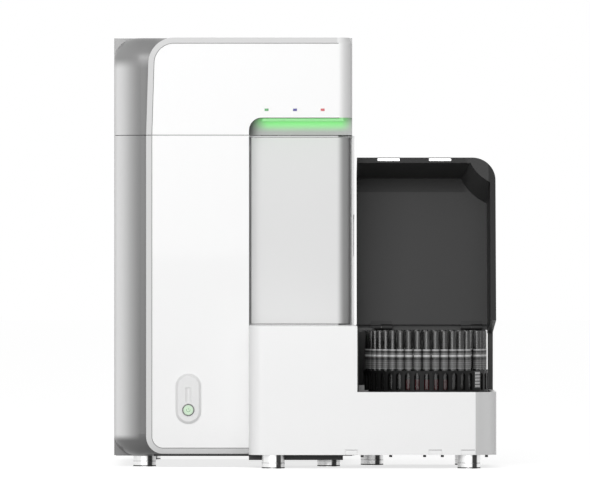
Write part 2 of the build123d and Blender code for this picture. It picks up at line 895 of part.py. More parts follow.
# Fan: a square frame with three struts, and a rotor on its axle
fan_rear_y = rear_panel_y
fan_front_y = fan_rear_y - fan_depth
fan_middle_y = (fan_front_y + fan_plate + fan_rear_y) / 2
with BuildPart() as fan_frame:
    with BuildSketch(front_plane(fan_rear_y)):
        with Locations((fan_x, fan_z)):
            Rectangle(fan_size, fan_size)
            Circle(fan_bore_radius, mode=Mode.SUBTRACT)
    extrude(amount=fan_depth)
    with BuildSketch(front_plane(fan_front_y + fan_plate)):
        with Locations((fan_x, fan_z)):
            RegularPolygon(fan_hub_radius, 12)
            with PolarLocations(fan_bore_radius / 2 + 4, 3):
                Rectangle(fan_bore_radius - 4, 5)
    extrude(amount=fan_plate)
    round_bar(front_plane(fan_rear_y - 3), [(fan_x, fan_z)], fan_axle_radius, fan_depth - 3)
save(fan_frame.part, "fan_frame")

rotor_y = (fan_front_y + fan_plate + 1, fan_rear_y - 2)
blade_length = fan_bore_radius - fan_blade_gap - fan_hub_radius + 2
with BuildPart() as fan_rotor:
    with BuildSketch(front_plane(rotor_y[1])):
        with Locations((fan_x, fan_z)):
            RegularPolygon(fan_hub_radius, 12)
    extrude(amount=rotor_y[1] - rotor_y[0])
    with Locations(Plane(origin=(fan_x, fan_middle_y, fan_z), z_dir=(0, -1, 0))):
        with PolarLocations(fan_hub_radius - 2 + blade_length / 2, fan_blade_count):
            Box(blade_length, 17, 1.6, rotation=(38, 0, 0))
    round_bar(front_plane(rotor_y[1] + 1), [(fan_x, fan_z)], fan_axle_radius + shaft_gap, fan_depth, Mode.SUBTRACT)
save(fan_rotor.part, "fan_rotor")

# Mains inlet with its rocker switch
inlet_body_y = cover_rear_y - 25.0
rocker_y = cover_rear_y - 1.0
with BuildPart() as mains_inlet:
    with BuildSketch(front_plane(cover_rear_y + flange_thickness)):
        with Locations((inlet_x, inlet_z + 15)):
            Rectangle(54, 64)
    extrude(amount=flange_thickness)
    block(around(inlet_x, 48), (inlet_body_y, cover_rear_y), around(inlet_z + 15, 58))
    block(
        around(inlet_x, inlet_recess[0]),
        (cover_rear_y - 16, cover_rear_y + 3),
        around(inlet_z, inlet_recess[1]),
        mode=Mode.SUBTRACT,
    )
    for x, z in ((-7, -2), (0, 3), (7, -2)):
        block(around(inlet_x + x, 2), (cover_rear_y - 17, cover_rear_y - 1), around(inlet_z + z, 4.5))
    block(
        around(inlet_x, rocker_width + 2 * rocker_gap),
        (cover_rear_y - 12, cover_rear_y + 3),
        around(rocker_z, rocker_length + 2 * rocker_gap),
        mode=Mode.SUBTRACT,
    )
    round_bar(Plane.YZ.offset(inlet_x - 9), [(rocker_y, rocker_z)], 1, 18)
save(mains_inlet.part, "mains_inlet")

with BuildPart() as rocker_switch:
    with BuildSketch(Plane.YZ.offset(inlet_x - rocker_width / 2)):
        with Locations(Location((rocker_y, rocker_z), -rocker_tilt)):
            add(
                outline([
                    (-6, -4),
                    (-6, 4),
                    (-1, rocker_length / 2),
                    (6, rocker_length / 2),
                    (4, 0),
                    (6, -rocker_length / 2),
                    (-1, -rocker_length / 2),
                ])
            )
            Circle(1 + shaft_gap, mode=Mode.SUBTRACT)
    extrude(amount=rocker_width)
save(rocker_switch.part, "rocker_switch")

with BuildPart() as data_ports:
    block(around(port_x, 46), (cover_rear_y, cover_rear_y + flange_thickness), around(port_z, 28))
    block(around(port_x, 40), (cover_rear_y - 18, cover_rear_y), around(port_z, 22))
    block(around(port_x - 9, 12.5), (cover_rear_y - 12, rear_y), around(port_z, 10.5), mode=Mode.SUBTRACT)
    block(around(port_x + 10, 9), (cover_rear_y - 12, rear_y), around(port_z, 8.5), mode=Mode.SUBTRACT)
save(data_ports.part, "data_ports")

with BuildPart() as fluid_ports:
    for x in fluid_port_x:
        block(
            around(x, fluid_body),
            (cover_rear_y - fluid_body, cover_rear_y),
            around(fluid_port_z, fluid_body),
        )
        block(
            around(x, fluid_flange),
            (cover_rear_y, cover_rear_y + flange_thickness),
            around(fluid_port_z, fluid_flange),
        )
    places = [(x, fluid_port_z) for x in fluid_port_x]
    round_bar(front_plane(rear_y), places, nipple_radius, nipple_length)
    round_bar(front_plane(rear_y), places, nipple_radius - 1.8, 2 * nipple_length, Mode.SUBTRACT)
save(fluid_ports.part, "fluid_ports")

# Top cover hinges: the cover's leaf carries the left knuckle, the rear panel's the right one
leaf_y = (cover_rear_y, cover_rear_y + flange_thickness)
knuckle_clear = cover_knuckle_radius + 1
with BuildPart() as cover_hinge_leaves:
    for x in cover_hinge_x:
        knuckle = (x - cover_hinge_width / 2, x - knuckle_gap / 2)
        block(around(x, cover_hinge_width), leaf_y, (seam_z + knuckle_clear, seam_z + cover_leaf_height))
        block(knuckle, leaf_y, (seam_z, seam_z + knuckle_clear))
        round_bar(
            Plane.YZ.offset(knuckle[0]),
            [(cover_hinge_y, cover_hinge_z)],
            cover_knuckle_radius,
            knuckle[1] - knuckle[0],
        )
        round_bar(
            Plane.YZ.offset(knuckle[0]),
            [(cover_hinge_y, cover_hinge_z)],
            cover_pin_radius + shaft_gap,
            cover_hinge_width,
            Mode.SUBTRACT,
        )
save(cover_hinge_leaves.part, "cover_hinge_leaves")

with BuildPart() as body_hinge_leaves:
    for x in cover_hinge_x:
        knuckle = (x + knuckle_gap / 2, x + cover_hinge_width / 2)
        block(around(x, cover_hinge_width), leaf_y, (seam_z - cover_leaf_height, seam_z - knuckle_clear))
        block(knuckle, leaf_y, (seam_z - knuckle_clear, seam_z))
        round_bar(
            Plane.YZ.offset(knuckle[0]),
            [(cover_hinge_y, cover_hinge_z)],
            cover_knuckle_radius,
            knuckle[1] - knuckle[0],
        )
        round_bar(
            Plane.YZ.offset(knuckle[0]),
            [(cover_hinge_y, cover_hinge_z)],
            cover_pin_radius,
            knuckle[1] - knuckle[0],
            Mode.SUBTRACT,
        )
save(body_hinge_leaves.part, "body_hinge_leaves")

# Feet: plain cylinders
feet_places = [
    (main_foot_x[0], main_foot_y[0], base_bottom_z),
    (main_foot_x[0], main_foot_y[1], base_bottom_z),
    (main_foot_x[1], main_foot_y[1], base_bottom_z),
    (main_foot_x[1], main_foot_y[0], dock_plate_bottom_z),
    (loader_foot_x[0], loader_foot_y[0], housing_bottom_z),
    (loader_foot_x[1], loader_foot_y[0], housing_bottom_z),
    (loader_foot_x[1], loader_foot_y[1], housing_bottom_z),
    (loader_foot_x[2], loader_foot_y[1], housing_bottom_z),
]
with BuildPart() as feet:
    for x, y, top in feet_places:
        round_bar(Plane.XY, [(x, y)], foot_radius, top)
save(feet.part, "feet")

with BuildPart() as docking_plate:
    with BuildSketch(Plane.YZ.offset(dock_plate_x[0])):
        add(
            outline([
                (dock_plate_front_y, dock_plate_bottom_z),
                (dock_plate_rear_y, dock_plate_bottom_z),
                (dock_plate_rear_y, base_bottom_z),
                (base_lip_y - 0.5, base_bottom_z),
                (base_lip_y - 0.5, housing_bottom_z),
                (dock_plate_front_y, housing_bottom_z),
            ])
        )
    extrude(amount=dock_plate_x[1] - dock_plate_x[0])
save(docking_plate.part, "docking_plate")

# Loader housing: one L-shaped moulding, a closed tower at the left and an open well at the right
tower_plan = outline(
    rectangle(tower_inner_x, tower_inner_y),
    [(tower_inner_x[0], tower_inner_y[0], tower_edge_radius - housing_wall)],
)
well_plan = outline(
    rectangle(well_x, well_y),
    [(well_x[1], well_y[0], loader_edge_radius - low_wall)],
)
with BuildPart() as loader_housing:
    with BuildSketch(Plane.XY.offset(housing_bottom_z)):
        add(
            outline(
                [
                    (split_x + 0.1, front_y),
                    (loader_right_x, front_y),
                    (loader_right_x, loader_rear_y),
                    (dock_x, loader_rear_y),
                    (dock_x, tower_rear_y),
                    (split_x + 0.1, tower_rear_y),
                ],
                [
                    (split_x + 0.1, front_y, tower_edge_radius),
                    (loader_right_x, front_y, loader_edge_radius),
                ],
            )
        )
    extrude(amount=wall_top_z - housing_bottom_z)
    with BuildSketch(Plane.XY.offset(wall_top_z)):
        add(
            outline(
                rectangle((split_x + 0.1, tower_right_x), (front_y, tower_rear_y)),
                [(split_x + 0.1, front_y, tower_edge_radius)],
            )
        )
    extrude(amount=tower_top_z - wall_top_z)
    fillet(loader_housing.faces().sort_by(Axis.Z)[-1].edges(), 2)
    with BuildSketch(Plane.XY.offset(housing_bottom_z)):
        add(tower_plan)
    extrude(amount=tower_top_z - housing_wall - housing_bottom_z, mode=Mode.SUBTRACT)
    with BuildSketch(Plane.XY.offset(housing_bottom_z)):
        add(well_plan)
    extrude(amount=wall_top_z - housing_bottom_z, mode=Mode.SUBTRACT)
    block(
        (tower_inner_x[1] - 1, tower_right_x + 1),
        (arm_y[0] - run_gap, arm_y[1] + run_gap),
        (arm_root_z - knuckle_gap, arm_z[1] + knuckle_gap),
        mode=Mode.SUBTRACT,
    )
    block(
        (tower_inner_x[1], well_x[0]),
        (well_y[0], tower_inner_y[1]),
        (housing_bottom_z, housing_bottom_z + tray_thickness),
        mode=Mode.SUBTRACT,
    )
    for span in notch_spans:
        block(
            span,
            (front_y - 1, front_y + low_wall + 1),
            (housing_bottom_z - 1, housing_bottom_z + notch_height),
            mode=Mode.SUBTRACT,
        )
    for x in strike_x:
        block(
            around(x, strike_length),
            (front_y + strike_inset, front_y + strike_inset + strike_width),
            (wall_top_z - magnet_height, wall_top_z),
            mode=Mode.SUBTRACT,
        )
save(loader_housing.part, "loader_housing")

with BuildPart() as catch_magnets:
    for x in strike_x:
        block(
            around(x, strike_length),
            (front_y + strike_inset, front_y + strike_inset + strike_width),
            (wall_top_z - magnet_height, wall_top_z),
        )
save(catch_magnets.part, "catch_magnets")

liner_floor_z = well_floor_z - liner_sheet
tray_posts = [
    (x, y)
    for x in (tower_right_x + 16, loader_right_x - 24.6)
    for y in (front_y + 25, loader_rear_y - 53)
]
with BuildPart() as loader_tray:
    with BuildSketch(Plane.XY.offset(housing_bottom_z)):
        add(tower_plan)
        add(well_plan)
        add(outline(rectangle((tower_inner_x[1], well_x[0]), (well_y[0], tower_inner_y[1]))))
    extrude(amount=tray_thickness)
    for x, y in tray_posts:
        block(around(x, tray_post_size), around(y, tray_post_size), (housing_bottom_z, liner_floor_z))
save(loader_tray.part, "loader_tray")

# Well liner: a black tub with low front and right walls, tall left and rear ones, and a rear shelf
liner_x = (well_x[0] + liner_gap, well_x[1] - liner_gap)
liner_y = (well_y[0] + liner_gap, well_rear_y)
liner_corner = loader_edge_radius - low_wall - liner_gap
liner_side_y = (carousel_y - rack_outer_radius + 3.4, well_rear_y)
liner_rear_x = (liner_x[0], slit_right_x - slit_width)
liner_inside_x = (liner_x[0] + liner_sheet, liner_x[1] - liner_sheet)
liner_inside_y = (liner_y[0] + liner_sheet, liner_y[1] - liner_sheet)
with BuildPart() as well_liner:
    with BuildSketch(Plane.XY.offset(liner_floor_z)):
        add(outline(rectangle(liner_x, liner_y), [(liner_x[1], liner_y[0], liner_corner)]))
    extrude(amount=liner_low_z - liner_floor_z)
    with BuildSketch(Plane.XY.offset(well_floor_z)):
        add(
            outline(
                rectangle(liner_inside_x, liner_inside_y),
                [(liner_inside_x[1], liner_inside_y[0], liner_corner - liner_sheet)],
            )
        )
    extrude(amount=liner_low_z - well_floor_z, mode=Mode.SUBTRACT)
    block((liner_x[0], liner_inside_x[0]), liner_side_y, (liner_floor_z, liner_high_z))
    block(liner_rear_x, (liner_inside_y[1], liner_y[1]), (liner_floor_z, liner_high_z))
    block(liner_rear_x, (liner_y[1], lid_frame_front_y - 2.5), (liner_high_z - liner_sheet, liner_high_z))
    round_bar(
        Plane.XY.offset(liner_floor_z), [(carousel_x, carousel_y)], bearing_radius, liner_sheet, Mode.SUBTRACT
    )
save(well_liner.part, "well_liner")

sensor_back_x = liner_inside_x[0]
with BuildPart() as carousel_sensor:
    block((sensor_back_x, sensor_x[0]), sensor_y, (well_floor_z, sensor_z[1]))
    block((sensor_x[0], sensor_x[1]), sensor_y, (well_floor_z, sensor_z[0]))
save(carousel_sensor.part, "carousel_sensor")

# Rear lid frame: an upright plate with a tall slit near its right end
with BuildPart() as lid_frame:
    block((tower_right_x, loader_right_x), (lid_frame_front_y, loader_rear_y), (wall_top_z, lid_frame_top_z))
    block(well_x, (lid_frame_front_y, well_y[1]), (lid_frame_foot_z, wall_top_z))
    block(
        (slit_right_x - slit_width, slit_right_x),
        (lid_frame_front_y - 1, loader_rear_y + 1),
        (slit_bottom_z, lid_frame_top_z - lid_frame_bar),
        mode=Mode.SUBTRACT,
    )
save(lid_frame.part, "lid_frame")

# Smoked lid, drawn closed in the lid's own frame: drafted walls, and a conical pillar in its corner
lid_inside = (right_x - lid_wall, lid_front + lid_wall)
rough_left_x = lid_left_x - 30
rough_rear_y = lid_tail + 30
with BuildPart() as lid_cavity:
    with BuildSketch(lid_plane.offset(lid_rim)):
        add(
            outline(
                rectangle((rough_left_x, lid_inside[0]), (lid_inside[1], rough_rear_y)),
                [(lid_inside[0], lid_inside[1], lid_corner_radius - lid_wall)],
            )
        )
    extrude(amount=lid_under - lid_rim, taper=lid_draft)
    with Locations(lid_plane.offset(lid_rim)):
        with Locations((lid_inside[0] + pillar_offset, lid_inside[1] - pillar_offset)):
            Cone(
                pillar_rim_radius,
                pillar_base_radius,
                lid_under - lid_rim,
                align=(Align.CENTER, Align.CENTER, Align.MIN),
                mode=Mode.SUBTRACT,
            )
with BuildPart() as lid:
    with BuildSketch(lid_plane.offset(lid_rim)):
        add(
            outline(
                rectangle((rough_left_x, right_x), (lid_front, rough_rear_y)),
                [(right_x, lid_front, lid_corner_radius)],
            )
        )
    extrude(amount=lid_top - lid_rim, taper=lid_draft)
    chamfer(lid.faces().sort_by(lid_outwards)[-1].edges(), lid_edge_bevel)
    add(lid_cavity.part, mode=Mode.SUBTRACT)
    with Locations(lid_plane):
        block(
            (rough_left_x - 1, lid_left_x),
            (lid_front - 1, rough_rear_y + 1),
            (lid_rim - 1, lid_top + 1),
            mode=Mode.SUBTRACT,
        )
        block(
            (rough_left_x - 1, right_x + 1),
            (lid_tail, rough_rear_y + 1),
            (lid_rim - 1, lid_top + 1),
            mode=Mode.SUBTRACT,
        )
        block(
            (rough_left_x - 1, lid_inside[0] - (lid_top - lid_rim) * sin(radians(lid_draft))),
            (-lid_panel_setback, lid_tail + 1),
            (lid_rim - 1, lid_top + 1),
            mode=Mode.SUBTRACT,
        )
        for x in strike_x:
            block(
                around(x, strike_length),
                (lid_front + strike_inset, lid_front + strike_inset + strike_width),
                (lid_rim, lid_rim + strike_thickness),
                mode=Mode.SUBTRACT,
            )
save(lid.part, "lid")

with BuildPart() as lid_strikes:
    with Locations(lid_plane):
        for x in strike_x:
            block(
                around(x, strike_length),
                (lid_front + strike_inset, lid_front + strike_inset + strike_width),
                (lid_rim, lid_rim + strike_thickness),
            )
save(lid_strikes.part, "lid_strikes")

# Lid hinges: the lid's leaf carries the left knuckle, the frame's bracket the right one
lid_axis = (lid_hinge_y, lid_hinge_z)
with BuildPart() as lid_hinge_leaves:
    for x in lid_hinge_x:
        knuckle = (x - lid_hinge_width / 2, x - knuckle_gap / 2)
        leaf_z = (lid_under - lid_leaf_thickness, lid_under)
        with Locations(lid_plane):
            block(around(x, lid_hinge_width), lid_leaf, leaf_z)
            block(knuckle, (lid_leaf[1], 0), leaf_z)
        round_bar(Plane.YZ.offset(knuckle[0]), [lid_axis], lid_knuckle_radius, knuckle[1] - knuckle[0])
        round_bar(
            Plane.YZ.offset(knuckle[0]),
            [lid_axis],
            lid_pin_radius + shaft_gap,
            lid_hinge_width,
            Mode.SUBTRACT,
        )
save(lid_hinge_leaves.part, "lid_hinge_leaves")

bracket_height = 12.5
with BuildPart() as frame_hinge_brackets:
    for x in lid_hinge_x:
        knuckle = (x + knuckle_gap / 2, x + lid_hinge_width / 2)
        round_bar(Plane.YZ.offset(knuckle[0]), [lid_axis], lid_knuckle_radius, knuckle[1] - knuckle[0])
        block(knuckle, (lid_hinge_y, lid_frame_front_y), (lid_hinge_z - lid_knuckle_radius, lid_hinge_z))
        block(
            knuckle,
            (lid_frame_front_y - lid_leaf_thickness, lid_frame_front_y),
            (lid_hinge_z - bracket_height, lid_hinge_z),
        )
        round_bar(
            Plane.YZ.offset(knuckle[0]), [lid_axis], lid_pin_radius, knuckle[1] - knuckle[0], Mode.SUBTRACT
        )
save(frame_hinge_brackets.part, "frame_hinge_brackets")

# Hinge pins of the door, the top cover and the lid
sill_z = door_bottom_z - run_gap - sill_height
with BuildPart() as hinge_pins:
    round_bar(
        Plane.XY.offset(sill_z),
        [(door_pin_x, door_pin_y)],
        door_pin_radius,
        sill_height + run_gap + door_pin_hold,
    )
    round_bar(
        Plane.XY.offset(door_top_z - door_pin_hold),
        [(door_pin_x, door_pin_y)],
        door_pin_radius,
        door_pin_hold + run_gap + lintel_height,
    )
    for x in cover_hinge_x:
        round_bar(
            Plane.YZ.offset(x - cover_hinge_width / 2),
            [(cover_hinge_y, cover_hinge_z)],
            cover_pin_radius,
            cover_hinge_width,
        )
    for x in lid_hinge_x:
        round_bar(Plane.YZ.offset(x - lid_hinge_width / 2), [lid_axis], lid_pin_radius, lid_hinge_width)
save(hinge_pins.part, "hinge_pins")

# Carousel rack: a ring-shaped trough, parted by ribs, with an arched window in front of each tube
tube_places = [index * place_step for index in range(place_count) if index != home_place]
half_place = place_step / 2
window_half = window_width / 2
window_crown = window_spring_z + window_half
with BuildPart() as window:
    with BuildSketch(Plane.YZ.offset(rack_outer_radius - rack_wall - 1)):
        add(
            outline([
                (-window_half, window_sill_z),
                (window_half, window_sill_z),
                (window_half, window_spring_z),
                (window_half * cos(radians(60)), window_crown - 0.6),
                (-window_half * cos(radians(60)), window_crown - 0.6),
                (-window_half, window_spring_z),
            ])
        )
    extrude(amount=rack_wall + 2)


def ring(radius, mode=Mode.ADD):
    """The rack's outline at one distance from its axis, with a flat side for each place."""
    RegularPolygon(radius, place_count, major_radius=False, rotation=half_place - 90, mode=mode)


with BuildPart() as carousel_rack:
    with BuildSketch(carousel_plane(rack_bottom_z)):
        ring(rack_outer_radius)
        ring(rack_inner_radius, Mode.SUBTRACT)
    extrude(amount=rack_top_z - rack_bottom_z)
    with BuildSketch(carousel_plane(tube_bottom_z)):
        ring(rack_outer_radius - rack_wall)
        ring(rack_inner_radius + rack_wall, Mode.SUBTRACT)
    extrude(amount=rack_top_z - tube_bottom_z, mode=Mode.SUBTRACT)
    with Locations(*[place((index + 0.5) * place_step) for index in range(place_count)]):
        block(
            (rack_inner_radius + 1, rack_outer_radius - 1),
            around(0, rib_thickness),
            (tube_bottom_z - 0.5, rack_top_z),
        )
    with Locations(place(home_angle)):
        block(
            (rack_inner_radius + 1, rack_outer_radius - 1),
            around(0, 2 * tube_radius),
            (tube_bottom_z - 0.5, rack_top_z),
        )
    with Locations(*[place(angle) for angle in tube_places]):
        add(window.part, mode=Mode.SUBTRACT)
save(carousel_rack.part, "carousel_rack")

with BuildPart() as carousel_hub:
    with BuildSketch(Plane.XZ):
        add(
            outline([
                (spindle_radius + shaft_gap, hub_bottom_z),
                (hub_boss_radius, hub_bottom_z),
                (hub_boss_radius, rack_bottom_z - hub_disc),
                (hub_disc_radius, rack_bottom_z - hub_disc),
                (hub_disc_radius, rack_bottom_z),
                (hub_boss_radius, rack_bottom_z),
                (post_radius, rack_bottom_z + 8),
                (post_radius, knob_top_z - knob_height),
                (knob_radius, knob_top_z - knob_height),
                (knob_radius, knob_top_z - 3),
                (knob_radius - 3, knob_top_z),
                (0, knob_top_z),
                (0, spindle_top_z + knuckle_gap),
                (spindle_radius + shaft_gap, spindle_top_z + knuckle_gap),
            ])
        )
    revolve(axis=Axis.Z)
save(Pos(carousel_x, carousel_y, 0) * carousel_hub.part, "carousel_hub")

with BuildPart() as tube:
    with BuildSketch(Plane.XY.offset(tube_bottom_z)):
        RegularPolygon(tube_radius, tube_sides)
    extrude(amount=tube_length)
    with BuildSketch(Plane.XY.offset(tube_bottom_z + 2 * tube_wall)):
        RegularPolygon(tube_radius - tube_wall, tube_sides)
    extrude(amount=tube_length, mode=Mode.SUBTRACT)
with BuildPart() as sample_tubes:
    with Locations(*[place(angle) * Pos(tube_ring_radius, 0, 0) for angle in tube_places]):
        add(tube.part)
save(sample_tubes.part, "sample_tubes")

with BuildPart() as marker_plate:
    block(
        (rack_outer_radius, rack_outer_radius + marker_thickness),
        around(0, marker_width),
        marker_z,
    )
save(place(home_angle) * marker_plate.part, "marker_plate")

with BuildPart() as carousel_spindle:
    round_bar(
        carousel_plane(housing_bottom_z + tray_thickness + motor_height + motor_boss + knuckle_gap),
        [(0, 0)],
        spindle_radius,
        spindle_top_z - housing_bottom_z - tray_thickness - motor_height - motor_boss - knuckle_gap,
    )
save(carousel_spindle.part, "carousel_spindle")

with BuildPart() as carousel_bearing:
    with BuildSketch(carousel_plane(hub_bottom_z - 2 - bearing_height)):
        Circle(bearing_radius)
        Circle(spindle_radius + shaft_gap, mode=Mode.SUBTRACT)
    extrude(amount=bearing_height)
save(carousel_bearing.part, "carousel_bearing")

with BuildPart() as carousel_motor:
    with BuildSketch(carousel_plane(housing_bottom_z + tray_thickness)) as motor_corners:
        Rectangle(motor_size, motor_size)
        chamfer(motor_corners.vertices(), 5)
    extrude(amount=motor_height)
    round_bar(carousel_plane(housing_bottom_z + tray_thickness + motor_height), [(0, 0)], 11, motor_boss)
save(carousel_motor.part, "carousel_motor")

# Needle guide arm over the left tube, and the rail it slides in behind the tower wall
with BuildPart() as guide_arm:
    block((arm_tail_x, arm_tip_x - arm_width / 2), arm_y, arm_z)
    round_bar(Plane.XY.offset(arm_z[0]), [(arm_tip_x - arm_width / 2, carousel_y)], arm_width / 2, arm_height)
    block((arm_tail_x, arm_root_x), arm_y, (arm_root_z, arm_z[0]))
    round_bar(
        Plane.XY.offset(arm_z[0]),
        [(carousel_x - tube_ring_radius, carousel_y)],
        needle_eye_radius,
        arm_height,
        Mode.SUBTRACT,
    )
save(guide_arm.part, "guide_arm")

rail_z = (arm_root_z - knuckle_gap - arm_rail_height, arm_root_z - knuckle_gap)
rail_lip_y = arm_y[0] - knuckle_gap
with BuildPart() as arm_rail:
    block((arm_rail_left_x, tower_inner_x[1]), (rail_lip_y - arm_rail_wall, tower_inner_y[1]), rail_z)
    block((arm_rail_left_x, tower_inner_x[1]), (rail_lip_y - arm_rail_wall, rail_lip_y), (rail_z[0], arm_z[0]))
save(arm_rail.part, "arm_rail")
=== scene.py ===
"""Flow cytometer with a carousel loader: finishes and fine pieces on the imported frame.

Everything is in metres in the frame's own axes: X runs to the right, -Y is the front, Z is up.
"""
import math

import bmesh
import bpy
import numpy as np
from bpy.props import FloatProperty, FloatVectorProperty, IntProperty, PointerProperty
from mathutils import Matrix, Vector


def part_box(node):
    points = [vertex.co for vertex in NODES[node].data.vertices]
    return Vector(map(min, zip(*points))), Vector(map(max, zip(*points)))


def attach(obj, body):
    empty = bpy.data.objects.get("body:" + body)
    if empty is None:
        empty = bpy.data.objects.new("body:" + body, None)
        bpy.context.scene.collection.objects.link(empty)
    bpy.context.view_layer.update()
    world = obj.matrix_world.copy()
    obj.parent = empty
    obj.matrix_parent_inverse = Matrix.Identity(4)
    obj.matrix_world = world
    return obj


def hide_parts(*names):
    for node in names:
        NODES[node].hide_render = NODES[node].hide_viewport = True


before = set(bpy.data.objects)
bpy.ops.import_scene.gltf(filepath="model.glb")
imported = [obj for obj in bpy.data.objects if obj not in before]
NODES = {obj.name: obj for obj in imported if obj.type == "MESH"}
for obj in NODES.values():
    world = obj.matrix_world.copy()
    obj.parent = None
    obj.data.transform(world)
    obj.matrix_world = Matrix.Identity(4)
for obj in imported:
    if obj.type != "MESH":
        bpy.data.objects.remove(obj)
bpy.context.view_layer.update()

bl_info = {
    "name": "Flow cytometer",
    "version": (1, 0, 0),
    "blender": (4, 5, 0),
    "location": "View3D > Sidebar > Cytometer",
    "description": "Finishes and fine pieces of a bench flow cytometer with a carousel loader",
    "category": "Object",
}

TURN = 2 * math.pi
MM = 0.001


def linear(*levels):
    """Display levels from 0 to 255 as linear light, by the sRGB curve."""
    shares = [level / 255 for level in levels]
    return tuple(s / 12.92 if s <= 0.04045 else ((s + 0.055) / 1.055) ** 2.4 for s in shares)


def grey(level):
    """A grey of one display level as a linear colour."""
    return linear(level, level, level)


# What a user would change


def colour_property(name, description, default):
    """A colour setting with its name, description and linear default."""
    return FloatVectorProperty(
        name=name, description=description, default=default, size=3, min=0.0, max=1.0, subtype="COLOR"
    )


def length_property(name, description, default):
    """A length setting in metres."""
    return FloatProperty(name=name, description=description, default=default, min=0.0, unit="LENGTH")


class ShellSettings(bpy.types.PropertyGroup):
    """Colours of the main unit and the loader's housing."""

    silver: colour_property("Silver", "Paint of the side and top covers", grey(205))
    white: colour_property("White", "Front panels and loader housing", grey(243))
    door: colour_property("Door", "Front door over the fluidics bay", grey(223))
    smoke: colour_property("Smoke", "Smoked carousel lid", grey(62))
    glow: colour_property("Glow", "Status light bar", linear(150, 230, 150))
    # also sets the painted glow on the pocket liner
    glow_strength: FloatProperty(
        name="Glow strength", description="How far the light bar outshines its paint", default=0.3, min=0.0
    )


class TubeSettings(bpy.types.PropertyGroup):
    """Sizes and colours of the sample tubes on the carousel."""

    radius: length_property("Radius", "Outer radius of a tube", 6.5 * MM)
    wall: length_property("Wall", "Wall of a tube", 0.9 * MM)
    height: length_property("Height", "Length of a tube", 100.0 * MM)
    label_bottom: length_property("Label bottom", "Height of a label's lower edge", 161.0 * MM)
    label_top: length_property("Label top", "Height of a label's upper edge", 193.0 * MM)
    sample_top: length_property("Sample level", "Height of the samples' surface", 144.0 * MM)
    sample_count: IntProperty(
        name="Samples", description="Filled tubes at the front", default=5, min=0, max=39
    )
    sample: colour_property("Sample", "Stained sample in the front tubes", linear(168, 14, 44))


class StudioSettings(bpy.types.PropertyGroup):
    """Camera distance and light levels of the stage."""

    distance: length_property("Camera distance", "Distance from the camera to the front", 14.0)
    key: FloatProperty(
        name="Key light", description="Soft light from the upper left", default=103.0, unit="POWER"
    )
    fill: FloatProperty(
        name="Fill light", description="Soft light from the front", default=28.0, unit="POWER"
    )
    surround: FloatProperty(name="Surround", description="Even light from all round", default=0.42)


# Shader maths


class Wire:
    """One output socket of a finish. Arithmetic on it adds Math nodes."""

    def __init__(self, finish, socket):
        self.finish = finish
        self.socket = socket

    def math(self, operation, first, second=0.0):
        """A Math node on two values."""
        return self.finish.node("ShaderNodeMath", {"operation": operation}, {0: first, 1: second})

    def __add__(self, other):
        return self.math("ADD", self, other)

    def __sub__(self, other):
        return self.math("SUBTRACT", self, other)

    def __rsub__(self, other):
        return self.math("SUBTRACT", other, self)

    def __mul__(self, other):
        return self.math("MULTIPLY", self, other)

    __radd__ = __add__
    __rmul__ = __mul__

    def wave(self):
        """The sine of the value."""
        return self.math("SINE", self)

    def size(self):
        """The value without its sign."""
        return self.math("ABSOLUTE", self)

    def ramp(self, start, end):
        """0 below start, 1 above end, and smooth in between."""
        settings = {"interpolation_type": "SMOOTHSTEP", "clamp": True}
        return self.finish.node("ShaderNodeMapRange", settings, {0: self, 1: start, 2: end, 3: 0.0, 4: 1.0})


